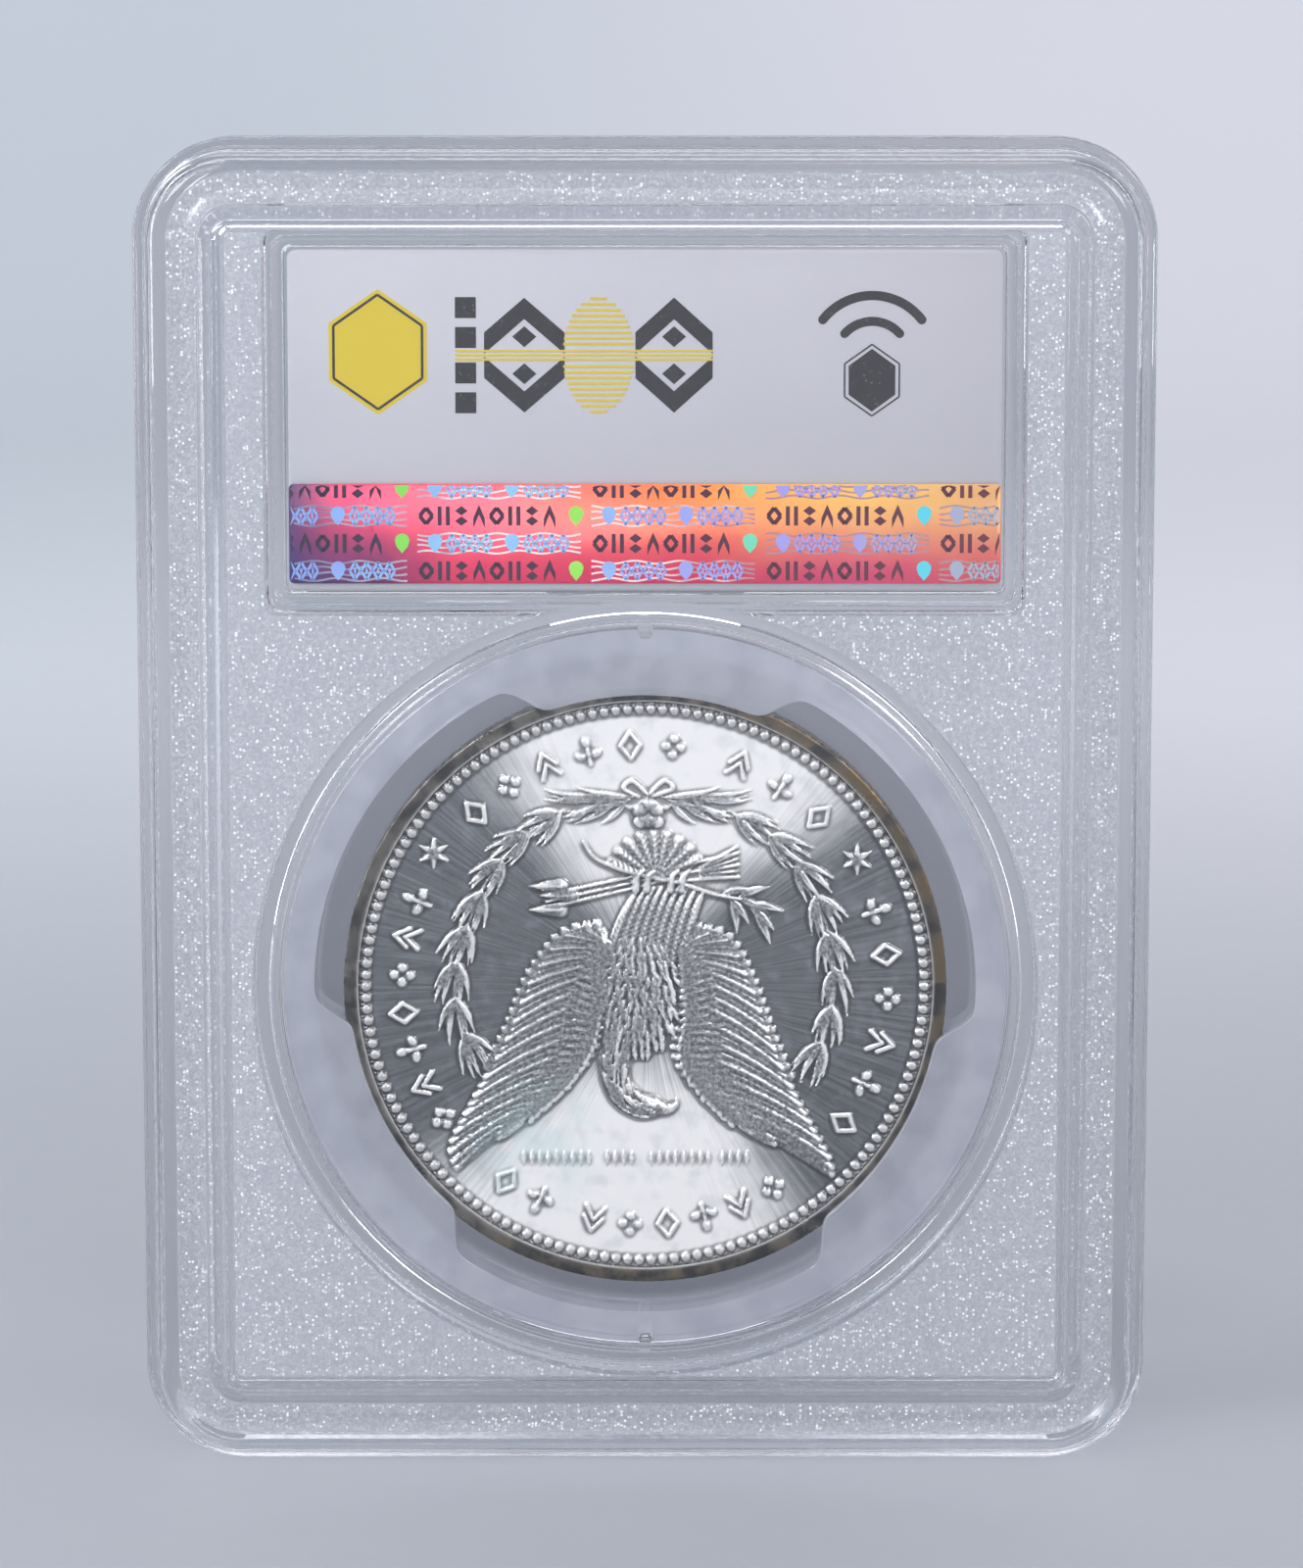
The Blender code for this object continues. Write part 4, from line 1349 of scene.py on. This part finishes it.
def ellipse(middle, radii, steps=40, start=0.0, end=2 * math.pi):
    full = end - start > 6.28
    angles = np.linspace(start, end, steps, endpoint=not full)
    return [(middle[0] + radii[0] * math.cos(a), middle[1] + radii[1] * math.sin(a)) for a in angles]


def bar(low_x, high_x, low_z, high_z):
    return [(low_x, low_z), (high_x, low_z), (high_x, high_z), (low_x, high_z)]


def lozenge(middle, half_width, half_height):
    x, z = middle
    return [(x + half_width, z), (x, z + half_height), (x - half_width, z), (x, z - half_height)]


def gem(middle, half_width, half_height):
    """A tall hexagon."""
    x, z = middle
    inner = half_height * GEM_SHOULDER
    right = [(x + half_width, z - inner), (x + half_width, z + inner), (x, z + half_height)]
    return right + [(x - half_width, z + inner), (x - half_width, z - inner), (x, z - half_height)]


def loop_line(points, half_width):
    return bands([*points, points[0]], half_width)


def chevron(middle, half_width, low, high, half_line):
    """One outline for a line that rises to a point and falls again."""
    rise = half_line * math.hypot(half_width, high - low) / half_width
    side = [(-half_width, low), (0.0, high), (half_width, low)]
    edge = [(x, z + rise) for x, z in side] + [(x, z - rise) for x, z in reversed(side)]
    return [(middle[0] + x, middle[1] + z) for x, z in edge]


def round_arc(middle, radius, spread, half_line):
    """One outline for an arc over the top, with round ends; spread is in degrees each way."""
    first, last = math.radians(90 - spread), math.radians(90 + spread)
    outer = ellipse(middle, [radius + half_line] * 2, 24, first, last)
    inner = ellipse(middle, [radius - half_line] * 2, 24, first, last)[::-1]
    ends = [(middle[0] + radius * math.cos(a), middle[1] + radius * math.sin(a)) for a in (last, first)]
    caps = [ellipse(ends[0], [half_line] * 2, 9, last, last + math.pi)[1:-1],
            ellipse(ends[1], [half_line] * 2, 9, first + math.pi, first + 2 * math.pi)[1:-1]]
    return outer + caps[0] + inner + caps[1]


PRINT_RISE, PRINT_SINK = 0.012, 0.004


def emblem(x, z):
    """A gold gem with a dark line inside its edge."""
    gold = [gem((x, z), 3.05, 3.9)]
    line = loop_line(gem((x, z), 2.75, 3.55), 0.08)
    return gold, line


def wordless_mark(x, z):
    """A dark row of squares, chevrons and lozenges across a striped gold disc."""
    left, right, square = x - 8.0, x + 8.0, 1.3
    dark = [bar(left, left + square, z + low, z + low + square) for low in (-3.6, -1.75, 0.45, 2.3)]
    for middle, half in ((x - 3.7, 2.5), (x + 5.6, 2.4)):
        for up in (1, -1):
            dark.append(chevron((middle, z), half, 0.75 * up, 2.9 * up, 0.5))
            dark.append(lozenge((middle, z + 1.15 * up), 0.75, 0.65))
    gold = [bar(left, right, z + dz - 0.07, z + dz + 0.07) for dz in (-0.27, 0.0, 0.27)]
    disc, stripe = x + 0.9, 0.085
    for dz in np.arange(-3.5, 3.6, 0.35):
        half = math.sqrt(max(0.0, 3.6**2 - dz**2)) * 0.62
        if abs(dz) > 0.4:
            gold.append(bar(disc - half, disc + half, z + dz - stripe, z + dz + stripe))
    return dark, gold


def waves_mark(x, z):
    """Two arcs over a dark gem with a line round it."""
    heart, gem_middle = (x, z - 0.55), (x, z - 1.9)
    dark = [round_arc(heart, 3.9, 52, 0.29), round_arc(heart, 2.3, 48, 0.28), gem(gem_middle, 1.45, 1.95)]
    return dark, loop_line(gem(gem_middle, 1.70, 2.22), 0.05)


STRIP_LOW = LABEL_LOW[2]
STRIP_TOP = STRIP_LOW + 6.6
ROW_PITCH = 1.72
BLOCK = 10.85
LEAST_MARK = 0.12


def foil_rows():
    """Middles of the four printed rows, from the foot up, and whether each starts with a dark run."""
    return [(STRIP_LOW + 1.18 + ROW_PITCH * row, row % 2) for row in range(4)]


def foil_blocks():
    """(x of a block's left end, z of its row, whether its run is dark) across the strip."""
    left = -LABEL_WIDTH / 2
    for z, odd in foil_rows():
        for number in range(-1, 5):
            start = left + 8.0 - BLOCK + number * BLOCK
            yield start, z, (number + odd) % 2 == 1


def clip_shape(points, low, high):
    """Keeps a shape only where it lies on the strip."""
    low_x, high_x = -LABEL_WIDTH / 2 + 0.1, LABEL_WIDTH / 2 - 0.1
    return [(min(max(x, low_x), high_x), min(max(z, low), high)) for x, z in points]


def on_strip(outlines):
    kept = []
    for points in outlines:
        shape = clip_shape(points, STRIP_LOW + 0.5, STRIP_TOP - 0.08)
        xs, zs = [p[0] for p in shape], [p[1] for p in shape]
        if max(xs) - min(xs) > LEAST_MARK and max(zs) - min(zs) > LEAST_MARK:
            kept.append(shape)
    return kept


def drop(middle, half_width, half_height):
    """A rounded shape with a point below."""
    x, z = middle
    top = ellipse((x, z + 0.25 * half_height), (half_width, 0.75 * half_height), 12, 0, math.pi)
    return top + [(x - 0.75 * half_width, z - 0.35 * half_height), (x, z - half_height),
                  (x + 0.75 * half_width, z - 0.35 * half_height)]


def glyph_run(start, z):
    """Eight small ornaments in a row, in place of lettering."""
    made = []
    for k in range(8):
        x = start + 0.55 + 1.1 * k
        kind = k % 4
        if kind == 0:
            made += loop_line(lozenge((x, z), 0.40, 0.50), 0.13)
        elif kind == 1:
            made += [bar(x - 0.38, x - 0.13, z - 0.6, z + 0.6), bar(x + 0.13, x + 0.38, z - 0.6, z + 0.6)]
        elif kind == 2:
            made += [lozenge((x, z + 0.32), 0.40, 0.30), lozenge((x, z - 0.32), 0.40, 0.30)]
        else:
            made.append(chevron((x, z), 0.36, -0.45, 0.4, 0.12))
    return made


def pale_run(start, z):
    made = []
    for middle in (start + 3.2, start + 8.0):
        for k in range(4):
            x = middle - 1.05 + 0.72 * k
            made += loop_line(lozenge((x, z), 0.32, 0.56), 0.085)
            made.append(lozenge((x, z), 0.09, 0.24))
    return made


# Each ink's (share of the strip's length, colour) stops
FOIL_INKS = {
    "foil_wave_ink": (
        (0.0, (0.2, 0.2, 0.3)), (0.16, (0.5, 0.45, 0.5)), (0.25, (1.0, 0.9, 0.88)),
        (0.5, (0.95, 0.8, 0.75)), (0.62, (0.5, 0.25, 0.3)), (1.0, (0.45, 0.3, 0.3)),
    ),
    "foil_dark_ink": ((0.0, (0.03, 0.015, 0.05)), (0.5, (0.07, 0.01, 0.04)), (1.0, (0.14, 0.02, 0.04))),
    "foil_pale_ink": (
        (0.0, (0.28, 0.40, 0.85)), (0.3, (0.30, 0.66, 0.90)), (0.5, (0.34, 0.42, 0.85)),
        (0.75, (0.42, 0.35, 0.80)), (0.95, (0.40, 0.45, 0.55)),
    ),
    "foil_bright_ink": (
        (0.0, (0.20, 0.75, 0.08)), (0.45, (0.35, 0.85, 0.10)), (0.6, (0.22, 0.80, 0.30)),
        (0.85, (0.10, 0.68, 0.80)),
    ),
}


def make_foil_print():
    y = box_mm("security_strip")[0][1]
    dark, pale, bright, waves = [], [], [], []
    for start, z, is_dark in foil_blocks():
        if is_dark:
            dark += glyph_run(start, z)
            bright.append(drop((start + 9.9, z), 0.46, 0.62))
            continue
        pale += pale_run(start, z)
        pale += [drop((start + 1.1, z), 0.46, 0.6), drop((start + 5.9, z), 0.46, 0.6)]
        for k in range(4):
            xs = np.linspace(start, start + 10.2, 30)
            path = [(x, z - 0.54 + 0.36 * k + 0.10 * math.sin(2.2 * x + k)) for x in xs]
            waves += bands(path, 0.06)
    waves = [clip_shape(points, STRIP_LOW + 0.45, STRIP_TOP - 0.05) for points in waves
             if abs(sum(p[0] for p in points) / len(points)) < LABEL_WIDTH / 2 - 0.3
             and sum(p[1] for p in points) / len(points) < STRIP_TOP - 0.1]
    layers = (
        ("foil_waves", waves, 0.5, "foil_wave_ink"),
        ("foil_dark_marks", on_strip(dark), 1.0, "foil_dark_ink"),
        ("foil_pale_marks", on_strip(pale), 1.5, "foil_pale_ink"),
        ("foil_bright_marks", on_strip(bright), 1.5, "foil_bright_ink"),
    )
    for name, outlines, layer, ink in layers:
        look = shifting_ink(ink, *FOIL_INKS[ink])
        put(shapes(name, outlines, y + PRINT_SINK, PRINT_RISE * layer), look)


# Pieces


def put(piece, material):
    """Gives a piece its look and hangs it under the root body."""
    piece.data.materials.clear()
    piece.data.materials.append(material)
    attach(piece, "root")
    return piece


def add_case():
    rear = make_shell("clear_rear_shell", REAR, rear_profile())
    front = make_shell("clear_front_shell", FRONT, front_profile())
    rear_look = clear_plastic("clear_rear_plastic", RIDGE_INNER + 0.1, 0.0)
    front_look = clear_plastic("clear_front_plastic", RIM_WIDTH + 0.15, FRONT_WELL_SHADE)
    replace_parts(put(rear, rear_look), "rear_shell")
    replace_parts(put(front, front_look), "front_shell")
    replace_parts(put(make_ring(), ring_plastic()), "coin_ring")


def add_labels():
    for name, side in (("rear_label", REAR), ("front_label", FRONT)):
        low, high = box_mm(name)
        card = swept(name + "_card", lambda r: label_ring(-r), card_profile(low[1], high[1]))
        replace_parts(put(card, label_card(name + "_paper")), name)
    ink = print_ink("black_ink", (0.022, 0.022, 0.024), (0.4, 0.4, 0.42))
    gold = print_ink("gold_ink", (0.72, 0.54, 0.035), (0.80, 0.70, 0.25), 0.09)
    add_rear_print(ink, gold)
    add_front_print(ink, gold)


def card_profile(low, high, edge=0.03):
    return [(edge, low), (0.0, low + edge), (0.0, high - edge), (edge, high)]


def add_rear_print(ink, gold):
    y = LABEL_LOW[1] + PRINT_SINK
    z = LABEL_MIDDLE[1]
    badge, badge_line = emblem(-16.6, z + 4.25)
    mark, mark_gold = wordless_mark(-3.8, z + 4.05)
    waves, waves_line = waves_mark(14.1, z + 4.4)
    put(shapes("rear_label_gold", badge, y, PRINT_RISE), gold)
    put(shapes("rear_label_black", mark + waves + waves_line, y, PRINT_RISE * 1.5), ink)
    put(shapes("rear_label_line", badge_line, y, PRINT_RISE * 2), ink)
    put(shapes("rear_label_stripes", mark_gold, y, PRINT_RISE * 2.5), gold)


def add_front_print(ink, gold):
    rng = np.random.default_rng(3)
    y = box_mm("front_label")[1][1] - PRINT_SINK
    z = LABEL_MIDDLE[1]
    badge, badge_line = emblem(17.0, z + 3.6)
    lines = []
    for row, count in ((7.4, 7), (5.2, 9), (3.0, 6)):
        x = 12.0
        for _ in range(count):
            length = rng.uniform(0.9, 2.6)
            lines.append(bar(x - length, x, z + row - 0.55, z + row + 0.55))
            x -= length + 0.5
    x = 12.0
    while x > -6.0:
        width = rng.choice((0.15, 0.3, 0.45))
        lines.append(bar(x - width, x, z - 6.5, z - 1.5))
        x -= width + rng.choice((0.18, 0.32))
    waves, waves_line = waves_mark(-15.0, z + 1.2)
    put(shapes("front_label_gold", badge, y, PRINT_RISE, FRONT), gold)
    put(shapes("front_label_black", lines + waves + waves_line, y, PRINT_RISE, FRONT), ink)
    put(shapes("front_label_line", badge_line, y, PRINT_RISE * 2, FRONT), ink)


def add_foil():
    low, high = box_mm("security_strip")
    middle = (0.0, (low[2] + high[2]) / 2)
    size = high[0] - low[0], high[2] - low[2]
    strip = swept("foil_strip", lambda r: outline(size[0] - 2 * r, size[1] - 2 * r, 0.3, middle, 6),
                  card_profile(low[1], high[1], 0.01))
    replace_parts(put(strip, holographic_foil()), "security_strip")
    make_foil_print()


def finish_tag():
    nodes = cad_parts
    looks = {
        "nfc_film": dull_plastic("clear_yellow_film", (0.72, 0.71, 0.62), 0.4),
        "nfc_antenna": bare_metal("etched_aluminium", (0.78, 0.79, 0.81), 0.35),
        "nfc_bridge": bare_metal("copper_strap", (0.80, 0.50, 0.32), 0.35),
        "nfc_chip": dull_plastic("black_chip_resin", (0.03, 0.03, 0.035), 0.4),
    }
    for name, look in looks.items():
        nodes[name].data.materials.clear()
        nodes[name].data.materials.append(look)


# Stage, lamps and camera

FLOOR_RADIUS, SWEEP_RADIUS, WALL_HEIGHT = 900.0, 500.0, 1500.0
SWEEP_STEPS, STAGE_SIDES = 12, 96
STAGE_DROP = 0.02


def add_stage():
    """A round sheet that curves up into a wall on every side."""
    profile = [(radius, 0.0) for radius in (0.5, 60.0, 300.0, FLOOR_RADIUS)]
    for step in range(1, SWEEP_STEPS + 1):
        angle = math.pi / 2 * step / SWEEP_STEPS
        out, up = math.sin(angle), 1 - math.cos(angle)
        profile.append((FLOOR_RADIUS + SWEEP_RADIUS * out, SWEEP_RADIUS * up))
    profile.append((FLOOR_RADIUS + SWEEP_RADIUS, WALL_HEIGHT))
    count = STAGE_SIDES
    vertices = [(0.0, 0.0, -STAGE_DROP)]
    for radius, z in profile:
        for k in range(count):
            angle = 2 * math.pi * k / count
            vertices.append((radius * math.cos(angle), radius * math.sin(angle), z - STAGE_DROP))
    faces = [(0, 1 + k, 1 + (k + 1) % count) for k in range(count)]
    for row in range(len(profile) - 1):
        for k in range(count):
            a, b = 1 + row * count + k, 1 + row * count + (k + 1) % count
            faces.append((a, a + count, b + count, b))
    sheet = new_object("studio_sheet", vertices, faces)
    sheet.data.materials.append(stage_surface())


LAMP_TARGET = (0.0, 0.0, 0.042)
WORLD_COLOUR, WORLD_STRENGTH = (0.93, 0.94, 0.955, 1.0), 0.22
# Name, place and size in metres, and power in watts
LAMPS = (
    ("key_softbox", (-0.10, -0.45, 0.80), (0.7, 0.16), 2.4),
    ("left_strip", (-0.60, -0.24, 0.26), (0.12, 0.5), 2.2),
    ("right_strip", (0.62, -0.22, 0.22), (0.08, 0.7), 0.7),
    ("rear_top", (0.0, 0.55, 0.70), (0.7, 0.10), 1.1),
    ("rear_left", (-0.45, 0.50, 0.36), (0.30, 0.30), 0.5),
    ("front_left_spot", (-0.34, -0.62, 0.30), (0.18, 0.14), 0.9),
    ("front_right_spot", (0.30, -0.66, 0.24), (0.18, 0.14), 0.7),
)


def add_lamp(name, place, size, power):
    lamp = bpy.data.lights.new(name, "AREA")
    lamp.shape = "RECTANGLE"
    lamp.size, lamp.size_y = size
    lamp.energy = power
    made = bpy.data.objects.new(name, lamp)
    made.location = Vector(place)
    made.visible_camera = False
    made.rotation_euler = (Vector(LAMP_TARGET) - made.location).to_track_quat("-Z", "Y").to_euler()
    bpy.context.scene.collection.objects.link(made)


def add_lights():
    world = bpy.data.worlds.new("pale_room")
    world.use_nodes = True
    background = world.node_tree.nodes["Background"]
    background.inputs["Color"].default_value = WORLD_COLOUR
    background.inputs["Strength"].default_value = WORLD_STRENGTH
    bpy.context.scene.world = world
    for name, place, size, power in LAMPS:
        add_lamp(name, place, size, power)


CAMERA_LENS = 122.4
CAMERA_DISTANCE = 0.332
CAMERA_ELEVATION = math.radians(8.0)
CAMERA_TARGET = (0.0004, -SLAB_HALF * MM, SLAB_HEIGHT * MM / 2 + 0.0019)


def add_camera():
    camera = bpy.data.objects.new("camera", bpy.data.cameras.new("camera"))
    camera.data.lens = CAMERA_LENS
    camera.data.sensor_width = 36.0
    back = Vector((0.0, -math.cos(CAMERA_ELEVATION), math.sin(CAMERA_ELEVATION)))
    camera.location = Vector(CAMERA_TARGET) + back * CAMERA_DISTANCE
    camera.rotation_euler = (-back).to_track_quat("-Z", "Y").to_euler()
    bpy.context.scene.collection.objects.link(camera)
    bpy.context.scene.camera = camera


CLEAR_BOUNCES = 24


def set_render_feel():
    """Enough bounces for light to cross every wall of the case."""
    scene = bpy.context.scene
    scene.view_settings.view_transform = "Standard"
    scene.cycles.max_bounces = CLEAR_BOUNCES
    scene.cycles.transmission_bounces = CLEAR_BOUNCES
    scene.cycles.transparent_max_bounces = CLEAR_BOUNCES
    scene.cycles.glossy_bounces = 10


add_case()
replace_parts(put(make_coin(), coin_silver()), "coin")
add_labels()
add_foil()
finish_tag()
add_stage()
add_lights()
add_camera()
set_render_feel()
